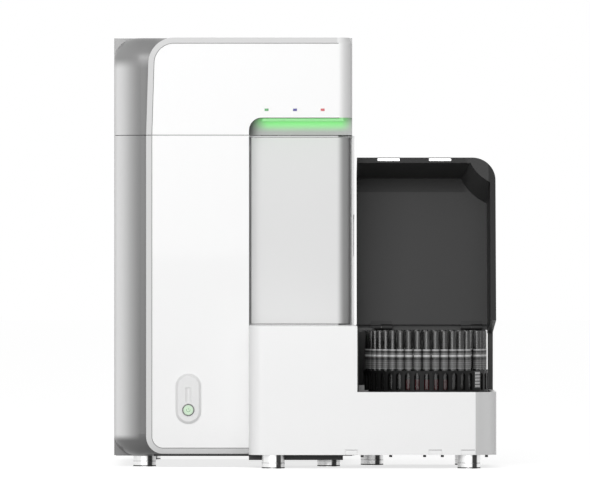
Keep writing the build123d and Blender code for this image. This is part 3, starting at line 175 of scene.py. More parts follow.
class Finish:
    """A procedural material while its nodes are put together."""

    def __init__(self, name):
        self.material = bpy.data.materials.new(name)
        self.material.use_nodes = True
        self.tree = self.material.node_tree
        self.tree.nodes.clear()
        self.shader = self.tree.nodes.new("ShaderNodeBsdfPrincipled")
        output = self.tree.nodes.new("ShaderNodeOutputMaterial")
        self.tree.links.new(self.shader.outputs[0], output.inputs[0])
        self.place = self.node("ShaderNodeTexCoord", out="Object")

    def node(self, kind, settings=None, sockets=None, out=0):
        """Adds a node: its type, its settings, then the values or links of its sockets."""
        made = self.tree.nodes.new(kind)
        for key, value in (settings or {}).items():
            if key == "stops":
                self.set_stops(made.color_ramp, value)
            else:
                setattr(made, key, value)
        for key, value in (sockets or {}).items():
            self.join(value, made.inputs[key])
        return Wire(self, made.outputs[out])

    def set_stops(self, ramp, stops):
        """Places a colour ramp's stops: (position, colour) pairs."""
        while len(ramp.elements) < len(stops):
            ramp.elements.new(1.0)
        for element, (position, colour) in zip(ramp.elements, stops):
            element.position = position
            element.color = (*colour, 1.0)

    def join(self, value, socket):
        """Links a wire to a socket, or writes a plain value into it."""
        if isinstance(value, Wire):
            self.tree.links.new(value.socket, socket)
        elif socket.type == "RGBA" and len(value) == 3:
            socket.default_value = (*value, 1.0)
        else:
            socket.default_value = value

    def set(self, **sockets):
        """Writes or links the shader's sockets, named with _ for a space."""
        for key, value in sockets.items():
            name = "IOR" if key == "ior" else key.replace("_", " ").title()
            self.join(value, self.shader.inputs[name])
        return self

    def axis(self, index):
        """The object's own X, Y or Z at a point, in metres."""
        return self.node("ShaderNodeSeparateXYZ", None, {0: self.place}, out=index)

    def slant(self):
        """How far the surface turns from the front: 0 where it faces the front, 1 where it faces a side."""
        turned = self.node("ShaderNodeTexCoord", out="Normal")
        return 1.0 - self.node("ShaderNodeSeparateXYZ", None, {0: turned}, out=1).size()

    def noise(self, scale, detail=2.0, stretch=(1.0, 1.0, 1.0)):
        """Soft noise from 0 to 1, with its own scale along each axis."""
        turned = self.node("ShaderNodeMapping", None, {"Vector": self.place, "Scale": stretch})
        return self.node("ShaderNodeTexNoise", None, {"Vector": turned, "Scale": scale, "Detail": detail})

    def mix(self, factor, first, second):
        """A colour between two colours."""
        settings = {"data_type": "RGBA"}
        return self.node("ShaderNodeMix", settings, {0: factor, 6: first, 7: second}, out=2)

    def scale_colour(self, colour, factor):
        """A colour times a value."""
        spread = self.node("ShaderNodeCombineColor", None, {0: factor, 1: factor, 2: factor})
        settings = {"data_type": "RGBA", "blend_type": "MULTIPLY"}
        return self.node("ShaderNodeMix", settings, {0: 1.0, 6: colour, 7: spread}, out=2)

    def relief(self, height, depth, strength=1.0):
        """Raises the surface by a height from 0 to 1 times a depth in metres."""
        sockets = {"Strength": strength, "Distance": depth, "Height": height}
        return self.set(normal=self.node("ShaderNodeBump", None, sockets))


def times(colour, factor):
    """A plain colour times a plain number, kept below 1."""
    return tuple(min(1.0, channel * factor) for channel in colour)


def moulded(name, colour, roughness=0.42, grain=1400.0, depth=0.00002, drift=0.015):
    """Moulded plastic: hand-sized patches a little lighter or darker, and the mould's spark texture."""
    finish = Finish(name)
    patches = finish.noise(7.0, 3.0)
    pores = finish.noise(grain, 1.0)
    finish.set(
        base_color=finish.mix(patches, times(colour, 1 - drift), times(colour, 1 + drift)),
        roughness=roughness - 0.05 + pores * 0.1,
    )
    return finish.relief(pores, depth, 0.5)


def painted(name, colour, roughness=0.38, metallic=0.0, peel=420.0, depth=0.00003, drift=0.02):
    """Stoved paint: slow colour drift, fine flake, and the soft ripple of sprayed paint."""
    finish = Finish(name)
    patches = finish.noise(5.0, 3.0)
    flake = finish.noise(2600.0, 1.0)
    shade = finish.mix(patches, times(colour, 1 - drift), times(colour, 1 + drift))
    finish.set(
        base_color=finish.mix(flake * 0.06, shade, times(colour, 1.15)),
        metallic=metallic,
        roughness=roughness - 0.04 + patches * 0.08,
    )
    return finish.relief(finish.noise(peel, 2.0), depth, 0.4)


def brushed(name, colour, roughness=0.3, stretch=(1.0, 1.0, 40.0), depth=0.00002):
    """Bare metal with fine parallel scratches across the stretched axis, and duller clouds."""
    finish = Finish(name)
    scratches = finish.noise(90.0, 4.0, stretch)
    clouds = finish.noise(14.0, 3.0)
    finish.set(
        base_color=finish.mix(scratches, times(colour, 0.88), times(colour, 1.06)),
        metallic=1.0,
        roughness=roughness - 0.08 + clouds * 0.16,
    )
    return finish.relief(scratches, depth, 0.35)


def chrome_finish(name, colour):
    """Polished plate, a little duller in slow clouds, with a painted reflection: one dark band down its
    side.
    """
    finish = Finish(name)
    clouds = finish.noise(30.0, 2.0)
    turned = finish.node("ShaderNodeTexCoord", out="Normal")
    side = finish.node("ShaderNodeSeparateXYZ", None, {0: turned}, out=0)
    # painted reflection: a dark band where the surface turns partly to the right
    dark_reflection_band = side.ramp(0.2, 0.34) * (1.0 - side.ramp(0.62, 0.76))
    return finish.set(
        base_color=finish.mix(dark_reflection_band, colour, times(colour, 0.06)),
        metallic=1.0,
        roughness=0.28 + clouds * 0.08,
    )


def cast(name, colour, roughness=0.5, metallic=0.55, depth=0.00012):
    """Bead-blasted casting or anodised block: even grain with small darker pits."""
    finish = Finish(name)
    grain = finish.noise(900.0, 3.0)
    pits = grain.ramp(0.28, 0.42)
    finish.set(
        base_color=finish.mix(pits, times(colour, 0.82), colour),
        metallic=metallic,
        roughness=roughness - 0.05 + grain * 0.12,
    )
    return finish.relief(grain, depth, 0.3)


# Surfaces


def surface(shape, across, along, close_across=False, close_along=False):
    """Points and four-sided faces of shape(U, V), worked out on every pair of the two parameters."""
    first, second = np.meshgrid(across, along, indexing="ij")
    points = np.stack(np.broadcast_arrays(*shape(first, second)), axis=-1).reshape(-1, 3).astype(float)
    rows = np.arange(len(across) - (0 if close_across else 1))
    columns = np.arange(len(along) - (0 if close_along else 1))
    row, column = np.meshgrid(rows, columns, indexing="ij")
    next_row = (row + 1) % len(across)
    next_column = (column + 1) % len(along)
    width = len(along)
    here, ahead = row * width, next_row * width
    corners = [here + column, ahead + column, ahead + next_column, here + next_column]
    faces = np.stack(corners, axis=-1).reshape(-1, 4)
    return points, faces


def lathe(profile, segments=24):
    """A profile of (radius, height) points turned round Z: x = r cos a, y = r sin a, z = height."""
    profile = np.asarray(profile, float)
    steps = np.arange(len(profile))
    angles = np.arange(segments) * TURN / segments

    def shape(step, angle):
        radius, height = profile[step.astype(int), 0], profile[step.astype(int), 1]
        return radius * np.cos(angle), radius * np.sin(angle), height

    return surface(shape, steps, angles, close_along=True)


def rounded_outline(width, height, corner, steps=5):
    """Points round a rectangle with quarter-circle corners: centre plus corner times (cos a, sin a)."""
    angles = np.concatenate([np.linspace(q, q + 1, steps) * TURN / 4 for q in range(4)])
    quarter = np.repeat(np.arange(4), steps)
    right = np.where((quarter == 0) | (quarter == 3), 1.0, -1.0)
    upper = np.where(quarter < 2, 1.0, -1.0)
    middle_x = right * (width / 2 - corner)
    middle_y = upper * (height / 2 - corner)
    return np.stack([middle_x + corner * np.cos(angles), middle_y + corner * np.sin(angles)], axis=-1)


def moulded_block(low, high, corner=0.0006, bevel=0.0004, axis=2):
    """A block with rounded corners and bevelled ends.

    The outline is drawn in across the two ends: at height h it is the rounded rectangle shrunk by the
    bevel, and it closes in one point at each end's middle.
    """
    low, high = np.asarray(low, float), np.asarray(high, float)
    size = high - low
    flat = [i for i in range(3) if i != axis]
    corner = min(corner, size[flat[0]] / 2 - 1e-6, size[flat[1]] / 2 - 1e-6)
    ring = rounded_outline(size[flat[0]], size[flat[1]], corner)
    shrink = np.array([1 - 2 * bevel / size[flat[0]], 1 - 2 * bevel / size[flat[1]]])
    scales = np.stack([shrink * 0, shrink, shrink * 0 + 1, shrink * 0 + 1, shrink, shrink * 0])
    levels = np.array([0, 0, bevel, size[axis] - bevel, size[axis], size[axis]])

    def shape(level, step):
        level, step = level.astype(int), step.astype(int)
        place = [None, None, None]
        place[flat[0]] = (low + high)[flat[0]] / 2 + ring[step, 0] * scales[level, 0]
        place[flat[1]] = (low + high)[flat[1]] / 2 + ring[step, 1] * scales[level, 1]
        place[axis] = low[axis] + levels[level]
        return place

    return surface(shape, np.arange(6), np.arange(len(ring)), close_along=True)


def bent_bar(path, radius, sides=10, closed=False):
    """A round bar on a flat path of (x, z) points: path plus radius times (normal cos a, depth sin a)."""
    path = np.asarray(path, float)
    ahead = np.roll(path, -1, axis=0) - np.roll(path, 1, axis=0)
    if not closed:
        ahead[0], ahead[-1] = path[1] - path[0], path[-1] - path[-2]
    ahead /= np.linalg.norm(ahead, axis=1)[:, None]
    normal = np.stack([-ahead[:, 1], ahead[:, 0]], axis=-1)
    thickness = np.full(len(path), radius)
    order = np.arange(len(path))
    if not closed:
        order = np.concatenate([[0], order, [len(path) - 1]])
        thickness = np.concatenate([[0.0], thickness, [0.0]])

    def shape(step, angle):
        step = step.astype(int)
        at = order[step]
        across = thickness[step] * np.cos(angle)
        return (
            path[at, 0] + normal[at, 0] * across,
            thickness[step] * np.sin(angle),
            path[at, 1] + normal[at, 1] * across,
        )

    angles = np.arange(sides) * TURN / sides
    return surface(shape, np.arange(len(order)), angles, close_across=closed, close_along=True)


def moved(part, offset):
    """The same faces with every point moved by an offset."""
    return part[0] + np.asarray(offset, float), part[1]


def turned_to_right(part):
    """The same faces with Z laid along +X."""
    points = part[0]
    return np.stack([points[:, 2], points[:, 1], -points[:, 0]], axis=-1), part[1]


def at_places(part, places):
    """Copies of a piece moved to each place, as one set of points and faces."""
    points, faces = part
    places = np.asarray(places, float)
    all_points = (points[None] + places[:, None]).reshape(-1, 3)
    all_faces = (faces[None] + (np.arange(len(places)) * len(points))[:, None, None]).reshape(-1, 4)
    return all_points, all_faces


def make_piece(name, parts, finish, body, closed=True, smooth_angle=40.0):
    """Joins the parts into one object that rides on a body, with seams and poles closed."""
    offset = 0
    points, faces = [], []
    for part_points, part_faces in parts:
        points.append(part_points)
        faces.append(part_faces + offset)
        offset += len(part_points)
    mesh = bpy.data.meshes.new(name)
    mesh.from_pydata(np.concatenate(points).tolist(), [], np.concatenate(faces).tolist())
    work = bmesh.new()
    work.from_mesh(mesh)
    bmesh.ops.remove_doubles(work, verts=work.verts, dist=1e-6)
    bmesh.ops.dissolve_degenerate(work, edges=work.edges, dist=1e-7)
    if closed:
        bmesh.ops.recalc_face_normals(work, faces=work.faces)
    sharp = math.radians(smooth_angle)
    for edge in work.edges:
        edge.smooth = len(edge.link_faces) == 2 and edge.calc_face_angle(0.0) < sharp
    for face in work.faces:
        face.smooth = True
    work.to_mesh(mesh)
    work.free()
    mesh.materials.append(finish.material)
    piece = bpy.data.objects.new(name, mesh)
    bpy.context.scene.collection.objects.link(piece)
    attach(piece, body)
    return piece


def dress(finish, *names):
    """Gives CAD nodes their finish through their material slots."""
    for name in names:
        mesh = NODES[name].data
        if not mesh.materials:
            mesh.materials.append(finish.material)
        for index in range(len(mesh.materials)):
            mesh.materials[index] = finish.material


# Finishes of the main unit


def silver_finish(settings):
    """Silver paint with painted light and shade: a painted reflection, light at the left, that darkens
    round the front edge's curve, and painted shade under the brows at its top and foot.
    """
    colour = tuple(settings.silver)
    finish = painted("silver_paint", colour, roughness=0.36, metallic=0.1)
    x, y, z = (finish.axis(i) for i in range(3))
    near = 1.0 - y.ramp(-0.21, -0.17)
    ledge = (1.0 - finish.slant()).ramp(0.3, 0.6) * (1.0 - y.ramp(-0.1, 0.0))
    front = near.math("MAXIMUM", near, ledge)
    left = 1.0 - x.ramp(-0.25, -0.2)
    # painted reflection and shade across the front strip: light near the left edge, dark next to the white
    # panel
    across = finish.node(
        "ShaderNodeValToRGB",
        {"stops": [
            (0.0, grey(176)), (0.03, grey(236)), (0.1, grey(250)), (0.2, grey(236)),
            (0.5, grey(180)), (0.81, grey(106)), (1.0, grey(98)),
        ]},
        {0: (x + 0.3125) * (1 / 0.0535)},
    )
    # painted shade under the top brow and at the foot
    strip = finish.mix(z.ramp(0.648, 0.668) * 0.9, across, grey(140))
    strip = finish.mix((1.0 - z.ramp(0.042, 0.054)) * 0.92, strip, grey(96))
    plain = finish.mix(finish.noise(5.0, 3.0), times(colour, 0.98), times(colour, 1.02))
    return finish.set(base_color=finish.mix(front * left, plain, strip))


def panel_finish(settings):
    """White moulding with painted shade: grey on the rounded right edges of the upper panel and the loader
    housing, and on the bevels.
    """
    colour = tuple(settings.white)
    finish = moulded("white_panel", colour, roughness=0.34)
    x, y, z = (finish.axis(i) for i in range(3))
    # painted shade: grey on the upper panel's rounded right edge and on its bevels
    edge = x.ramp(0.052, 0.068) * z.ramp(0.5395, 0.541)
    bevel = finish.slant().ramp(0.04, 0.12) * (1.0 - x.ramp(0.05, 0.054)) * y.ramp(-0.2579, -0.2577)
    face = finish.mix(bevel, colour, grey(224))
    face = finish.mix(edge * 0.35, face, grey(160))
    # painted shade: grey on the loader housing's rounded right front edge
    corner = x.ramp(0.2745, 0.2762) * (1.0 - y.ramp(-0.31, -0.29))
    face = finish.mix(corner, face, finish.mix(x.ramp(0.276, 0.309), grey(194), grey(228)))
    return finish.set(base_color=face, coat_weight=0.15)


def door_finish(settings):
    """Light grey door, a shade lighter towards its foot, with painted shade darkening its rounded right
    edge.
    """
    colour = tuple(settings.door)
    finish = painted("door_paint", colour, roughness=0.4)
    x, z = finish.axis(0), finish.axis(2)
    face = finish.mix(z.ramp(0.24, 0.38), times(colour, 1.02), colour)
    # painted shade on the rounded right edge
    edge = x.ramp(0.05, 0.064)
    face = finish.mix(edge * 0.85, face, grey(128))
    return finish.set(base_color=face)


def pocket_finish(settings):
    """Satin liner under the light bar, with painted light: a green glow, painted and emitted at its top,
    that fades down and towards the ends; darker towards its left end.
    """
    finish = moulded("pocket_liner", grey(170), roughness=0.5)
    x, z = finish.axis(0), finish.axis(2)
    # painted light: the light bar's glow on the liner, in its colour and its emission
    fall = z.ramp(0.545, 0.562)
    reach = x.ramp(-0.092, -0.058) * (1.0 - x.ramp(0.056, 0.08))
    glow = fall * reach
    liner = finish.mix(x.ramp(-0.094, -0.074), grey(98), grey(180))
    finish.set(
        base_color=finish.mix(glow, liner, tuple(settings.glow)),
        emission_color=finish.scale_colour(tuple(settings.glow), glow),
    )
    finish.shader.inputs["Emission Strength"].default_value = settings.glow_strength
    return finish


def light_finish(name, colour, strength):
    """A lit diffuser: its light is strongest in the middle of its grain."""
    finish = moulded(name, colour, roughness=0.25)
    finish.set(emission_color=finish.scale_colour(colour, 0.85 + finish.noise(160.0) * 0.3))
    finish.shader.inputs["Emission Strength"].default_value = strength
    return finish


def smoked_finish(settings):
    """Smoked clear plastic with faint wiping marks, darker where its walls are thick, with a painted shadow
    of its front wall in a band beside it.
    """
    colour = tuple(settings.smoke)
    finish = Finish("smoked_plastic")
    wipes = finish.noise(30.0, 4.0, (1.0, 1.0, 0.2))
    x, z = finish.axis(0), finish.axis(2)
    # painted shadow of the front wall, in a band beside it
    step = z.ramp(0.4494, 0.4502) * (1.0 - x.ramp(0.262, 0.27))
    thick = x.ramp(0.3005, 0.3015)
    shade = finish.mix(wipes, times(colour, 0.96), times(colour, 1.05))
    shade = finish.mix(step * 0.48, shade, times(colour, 0.2))
    finish.set(
        base_color=finish.mix(thick * 0.75, shade, times(colour, 0.2)),
        roughness=0.3 + wipes * 0.08,
        alpha=0.975,
    )
    finish.shader.inputs["Specular IOR Level"].default_value = 0.12
    return finish


def clear_finish(name, tint):
    """Clear moulded tube: see-through where it faces the eye, with a painted reflection that makes it
    lighter along its edges.
    """
    finish = Finish(name)
    # painted reflection: lighter colour and less see-through along the tube's edges
    rim = finish.node("ShaderNodeLayerWeight", None, {"Blend": 0.5}, out="Facing")
    edge = rim.ramp(0.72, 0.92)
    lines = finish.noise(260.0, 2.0, (1.0, 1.0, 0.02))
    finish.set(
        base_color=finish.mix(edge, times(tint, 0.06), tint),
        roughness=0.26 + lines * 0.04,
        alpha=0.5 + edge * 0.2,
    )
    finish.shader.inputs["Specular IOR Level"].default_value = 1.0
    return finish


def board_finish():
    """Green circuit board: fine copper tracks under the lacquer, and rows of soldered holes."""
    finish = Finish("circuit_board")
    tracks = finish.node("ShaderNodeTexBrick", {"offset": 0.37, "squash": 0.6}, {
        "Vector": finish.node("ShaderNodeMapping", None, {
            "Vector": finish.place, "Rotation": (0.0, math.pi / 2, 0.0),
        }),
        "Scale": 60.0, "Mortar Size": 0.012, "Color1": linear(22, 92, 52), "Color2": linear(18, 84, 46),
        "Mortar": linear(70, 140, 84),
    })
    cells = finish.node("ShaderNodeTexVoronoi", None, {"Vector": finish.place, "Scale": 220.0})
    holes = cells.ramp(0.12, 0.2)
    finish.set(base_color=finish.mix(holes, linear(188, 190, 184), tracks), roughness=0.3 + holes * 0.1)
    return finish


def knurl_finish(name, colour):
    """Black moulding with fine upright ridges."""
    finish = moulded(name, colour, roughness=0.45)
    x, y = finish.axis(0), finish.axis(1)
    ridges = ((x + y) * 2400.0).wave() * 0.5 + 0.5
    return finish.relief(ridges, 0.0001, 0.4)


class FinishOperator(bpy.types.Operator):
    """What the operators that dress CAD nodes have in common."""

    bl_options = {"REGISTER", "UNDO"}


class CYTOMETER_OT_shell_finish(FinishOperator):
    """Paint the covers, front panels, door, lights and button"""

    bl_idname = "cytometer.shell_finish"
    bl_label = "Shell finishes"

    def execute(self, context):
        settings = context.scene.cytometer_shell
        dress(silver_finish(settings), "side_cover_left", "side_cover_right", "top_cover")
        dress(panel_finish(settings), "front_panel_upper", "front_panel_lower", "loader_housing")
        dress(moulded("pod_white", grey(228), roughness=0.36), "power_pod")
        dress(door_finish(settings), "front_door")
        dress(pocket_finish(settings), "light_pocket")
        glow = tuple(settings.glow)
        dress(light_finish("light_bar_diffuser", glow, settings.glow_strength), "light_bar")
        dress(light_finish("lamp_green", linear(70, 148, 84), 0.1), "led_green")
        dress(light_finish("lamp_blue", linear(48, 38, 128), 0.1), "led_blue")
        dress(light_finish("lamp_red", linear(184, 60, 68), 0.1), "led_red")
        dress(light_finish("button_cap", linear(198, 222, 194), 0.16), "power_button")
        dress(brushed("dark_chrome", grey(92), roughness=0.22), "button_ring")
        return {"FINISHED"}


class CYTOMETER_OT_frame_finish(FinishOperator):
    """Give the base, frame, rear panel, hinges and feet their metals and plastics"""

    bl_idname = "cytometer.frame_finish"
    bl_label = "Frame finishes"

    def execute(self, context):
        black = moulded("black_moulding", grey(30), roughness=0.5)
        dress(black, "push_switch", "mains_inlet", "rocker_switch", "fan_frame", "fan_rotor", "data_ports")
        dress(moulded("matt_black_liner", grey(26), roughness=0.6), "arm_rail", "well_liner")
        plate = painted("zinc_plate", grey(150), roughness=0.45, metallic=0.7)
        dress(plate, "door_frame", "inner_frame", "rear_panel", "base_plate")
        underside = painted("underside_plate", grey(44), roughness=0.5, metallic=0.3)
        dress(underside, "docking_plate", "loader_tray")
        steel = brushed("plain_steel", grey(190))
        dress(steel, "hinge_pins", "cover_hinge_leaves", "body_hinge_leaves")
        dress(steel, "carousel_spindle", "carousel_bearing")
        dress(brushed("bright_strikes", grey(222), roughness=0.34, stretch=(1.0, 40.0, 1.0)), "lid_strikes")
        blackened = cast("blackened_steel", grey(34), roughness=0.6, metallic=0.1)
        dress(blackened, "lid_hinge_leaves", "frame_hinge_brackets")
        dress(chrome_finish("foot_chrome", grey(236)), "feet")
        return {"FINISHED"}


class CYTOMETER_OT_inside_finish(FinishOperator):
    """Give the fluidics, optics and electronics their finishes"""

    bl_idname = "cytometer.inside_finish"
    bl_label = "Inside finishes"

    def execute(self, context):
        dress(painted("bay_liner", grey(196), roughness=0.5), "fluidics_bay")
        dress(moulded("filter_shell", grey(228), roughness=0.3), "sheath_filter")
        dress(cast("pump_casting", grey(88)), "fluid_pump")
        dress(cast("black_anodised", grey(40)), "optical_deck", "flow_cell")
        dress(cast("laser_casting", grey(66)), "lasers")
        dress(cast("detector_casting", grey(120)), "detector_array")
        dress(board_finish(), "main_board")
        dress(painted("supply_case", grey(168), roughness=0.35, metallic=0.8), "power_supply")
        dress(moulded("fitting_plastic", linear(214, 216, 208), roughness=0.35), "fluid_ports")
        return {"FINISHED"}


class CYTOMETER_OT_loader_finish(FinishOperator):
    """Give the lid, its frame, the carousel and the needle arm their finishes"""

    bl_idname = "cytometer.loader_finish"
    bl_label = "Loader finishes"

    def execute(self, context):
        dress(smoked_finish(context.scene.cytometer_shell), "lid")
        dress(moulded("lid_frame_black", grey(42), roughness=0.5), "lid_frame")
        dress(brushed("magnet_nickel", grey(200), roughness=0.2), "catch_magnets")
        rack = moulded("rack_black", grey(22), roughness=0.5)
        rack.shader.inputs["Specular IOR Level"].default_value = 0.15
        dress(rack, "carousel_rack")
        dress(knurl_finish("hub_black", grey(34)), "carousel_hub")
        dress(moulded("marker_grey", grey(70), roughness=0.4), "marker_plate")
        dress(cast("motor_case", grey(60)), "carousel_motor")
        dress(moulded("sensor_case", grey(84), roughness=0.5), "carousel_sensor")
        dress(painted("arm_paint", grey(48), roughness=0.45, metallic=0.3), "guide_arm")
        return {"FINISHED"}


# Fine pieces of the loader


CAROUSEL = (0.1964, -0.232)
PLACES = 40
HOME = 6
RING = 0.0928
TUBE_FOOT = 0.1227


def place_angles():
    """Angles of the 39 tubes, from the front place to the right, the home place left free."""
    index = np.array([i for i in range(PLACES) if i != HOME])
    return index * TURN / PLACES


def ring_places(angles, radius=RING, height=0.0):
    """Points on a circle round the carousel's axis, at angles counted from the front to the right."""
    return np.stack(
        [
            CAROUSEL[0] + radius * np.sin(angles),
            CAROUSEL[1] - radius * np.cos(angles),
            np.full_like(angles, height),
        ],
        axis=-1,
    )


class CYTOMETER_OT_tubes(bpy.types.Operator):
    """Turn the clear round-bottomed sample tubes"""

    bl_idname = "cytometer.tubes"
    bl_label = "Sample tubes"

    def execute(self, context):
        settings = context.scene.cytometer_tubes
        outer, inner = settings.radius, settings.radius - settings.wall
        top = settings.height
        turn = np.linspace(0, TURN / 4, 6)
        bottom = [(outer * math.sin(a), outer - outer * math.cos(a)) for a in turn]
        hollow = [(inner * math.sin(a), outer - inner * math.cos(a)) for a in turn[::-1]]
        lip = [
            (outer, top - 0.0006), (outer - 0.0002, top - 0.0001),
            (outer - 0.00045, top), (inner, top - 0.0002),
        ]
        tube = lathe(bottom + lip + hollow, 24)
        parts = [at_places(tube, ring_places(place_angles(), height=TUBE_FOOT))]
        finish = clear_finish("clear_tube", grey(130))
        piece = make_piece("tube_set", parts, finish, "carousel")
        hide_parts("sample_tubes")
        return {"FINISHED"}


class CYTOMETER_OT_labels(bpy.types.Operator):
    """Wrap the printed labels round the tubes"""

    bl_idname = "cytometer.labels"
    bl_label = "Tube labels"

    def execute(self, context):
        settings = context.scene.cytometer_tubes
        angles = place_angles()
        low, high = settings.label_bottom, settings.label_top
        radius = settings.radius + 0.00006

        def shape(turn, height):
            """A curved sheet just outside the tube, that leaves a slot at the back."""
            return radius * np.sin(turn), -radius * np.cos(turn), height

        spans = []
        for angle, place in zip(angles, ring_places(angles)):
            wrap = np.linspace(angle - 2.7, angle + 2.7, 19)[::-1]
            spans.append(moved(surface(shape, wrap, np.linspace(low, high, 3)), place))
        finish = Finish("label_print")
        height = (finish.axis(2) - low) * (1.0 / (high - low))
        bars = finish.node(
            "ShaderNodeValToRGB",
            {"stops": [
                (0.00, grey(150)), (0.05, grey(66)), (0.10, grey(112)), (0.16, grey(58)), (0.21, grey(118)),
                (0.27, grey(62)), (0.32, grey(122)), (0.38, grey(60)), (0.42, grey(104)), (0.47, grey(34)),
                (0.56, grey(38)), (0.61, grey(120)), (0.66, grey(214)), (0.70, grey(190)), (0.74, grey(60)),
                (0.79, grey(120)), (0.83, grey(44)), (0.91, grey(50)), (0.95, grey(196)), (1.00, grey(150)),
            ]},
            {0: height},
        )
        smudge = finish.noise(420.0, 3.0)
        finish.set(base_color=finish.mix(smudge.ramp(0.35, 0.7) * 0.2, bars, grey(110)), roughness=0.5)
        make_piece("tube_labels", spans, finish, "carousel", closed=False)
        return {"FINISHED"}


class CYTOMETER_OT_samples(bpy.types.Operator):
    """Fill the front tubes with stained sample"""

    bl_idname = "cytometer.samples"
    bl_label = "Samples"

    def execute(self, context):
        settings = context.scene.cytometer_tubes
        radius = settings.radius - settings.wall - 0.0001
        foot = settings.wall + 0.0001
        depth = settings.sample_top - TUBE_FOOT
        turn = np.linspace(0, TURN / 4, 5)
        profile = [(radius * math.sin(a), foot + radius - radius * math.cos(a)) for a in turn]
        profile += [(radius, depth), (radius * 0.93, depth - 0.0005), (0.0, depth - 0.0007)]
        step = TURN / PLACES
        half = (settings.sample_count - 1) / 2
        angles = (np.arange(settings.sample_count) - half) * step
        finish = Finish("stained_sample")
        cloud = finish.noise(240.0, 3.0)
        colour = tuple(settings.sample)
        finish.set(base_color=finish.mix(cloud, times(colour, 0.7), times(colour, 1.25)), roughness=0.2)
        parts = [at_places(lathe(profile, 18), ring_places(angles, height=TUBE_FOOT))]
        make_piece("sample_columns", parts, finish, "carousel")
        return {"FINISHED"}


class CYTOMETER_OT_home_ribs(bpy.types.Operator):
    """Press the ribbed plate of the home place"""

    bl_idname = "cytometer.home_ribs"
    bl_label = "Home marker ribs"

    def execute(self, context):
        angle = HOME * TURN / PLACES
        outwards = np.array([math.sin(angle), -math.cos(angle), 0.0])
        sideways = np.array([math.cos(angle), math.sin(angle), 0.0])
        plate_face = 0.1024
        rib_foot, rib_pitch, rib_height, half_width = 0.1312, 0.0052, 0.0036, 0.0062
        start = np.array([CAROUSEL[0], CAROUSEL[1], 0.0]) + outwards * plate_face
        bars = []
        for index in range(5):
            low = rib_foot + index * rib_pitch
            corners = (-half_width, -0.0002, low), (half_width, 0.0009, low + rib_height)
            block = moulded_block(*corners, 0.0004, 0.0003, axis=1)
            points = block[0]
            placed = start + points[:, :1] * sideways + points[:, 1:2] * outwards
            placed[:, 2] = points[:, 2]
            bars.append((placed, block[1]))
        finish = moulded("marker_ribs", grey(188), roughness=0.4)
        make_piece("home_marker_ribs", bars, finish, "carousel")
        return {"FINISHED"}


# Fine pieces of the main unit


FEET = (
    (-0.263, -0.178), (-0.263, 0.290), (0.0382, 0.290), (0.0382, -0.178),
    (-0.0522, -0.318), (0.2651, -0.318), (0.2651, -0.090), (0.110, -0.090),
)


class CYTOMETER_OT_feet(bpy.types.Operator):
    """Turn a bright collar and a rubber sole for each foot"""

    bl_idname = "cytometer.feet"
    bl_label = "Feet"

    def execute(self, context):
        places = [(x, y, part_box("feet")[0].z) for x, y in FEET]
        sole = lathe([
            (0.0, 0.0), (0.0180, 0.0), (0.0187, 0.0006), (0.0187, 0.0020), (0.0184, 0.0022), (0.0, 0.0022),
        ], 48)
        collar = lathe([
            (0.0184, 0.0076), (0.0188, 0.0080), (0.0188, 0.0092), (0.0184, 0.0096), (0.0180, 0.0086),
        ], 48)
        rubber = moulded("foot_rubber", grey(24), roughness=0.7)
        chrome = chrome_finish("collar_chrome", grey(220))
        make_piece("foot_soles", [at_places(sole, places)], rubber, "instrument")
        make_piece("foot_collars", [at_places(collar, places)], chrome, "instrument")
        return {"FINISHED"}


class CYTOMETER_OT_power_symbol(bpy.types.Operator):
    """Mould the power symbol and its rim on the button"""

    bl_idname = "cytometer.power_symbol"
    bl_label = "Power symbol"

    def execute(self, context):
        low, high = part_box("power_button")
        middle = ((low.x + high.x) / 2, low.y, (low.z + high.z) / 2)
        symbol_radius, rim_radius = 0.0030, 0.0064
        sweep = np.linspace(0.16, 0.84, 25) * TURN + TURN / 4
        curve = symbol_radius * np.stack([np.cos(sweep), np.sin(sweep)], axis=-1)
        bar = np.array([[0.0, 0.0006], [0.0, 0.0019], [0.0, 0.0034]])
        circle = np.arange(48) * TURN / 48
        rim = rim_radius * np.stack([np.cos(circle), np.sin(circle)], axis=-1)
        marks = moulded("symbol_print", linear(88, 124, 98), roughness=0.4)
        symbol = [moved(bent_bar(curve, 0.0003), middle), moved(bent_bar(bar, 0.0003), middle)]
        make_piece("power_symbol", symbol, marks, "power_button")
        edge = moulded("button_rim", linear(214, 232, 218), roughness=0.25)
        ring = [moved(bent_bar(rim, 0.00045, closed=True), middle)]
        make_piece("button_rim", ring, edge, "power_button")
        return {"FINISHED"}


def arc(middle, radius, start, end, steps=16):
    """Points of an arc in X and Z: middle plus radius times (cos a, sin a), in degrees."""
    angles = np.radians(np.linspace(start, end, steps))
    return np.stack([middle[0] + radius * np.cos(angles), middle[1] + radius * np.sin(angles)], axis=-1)


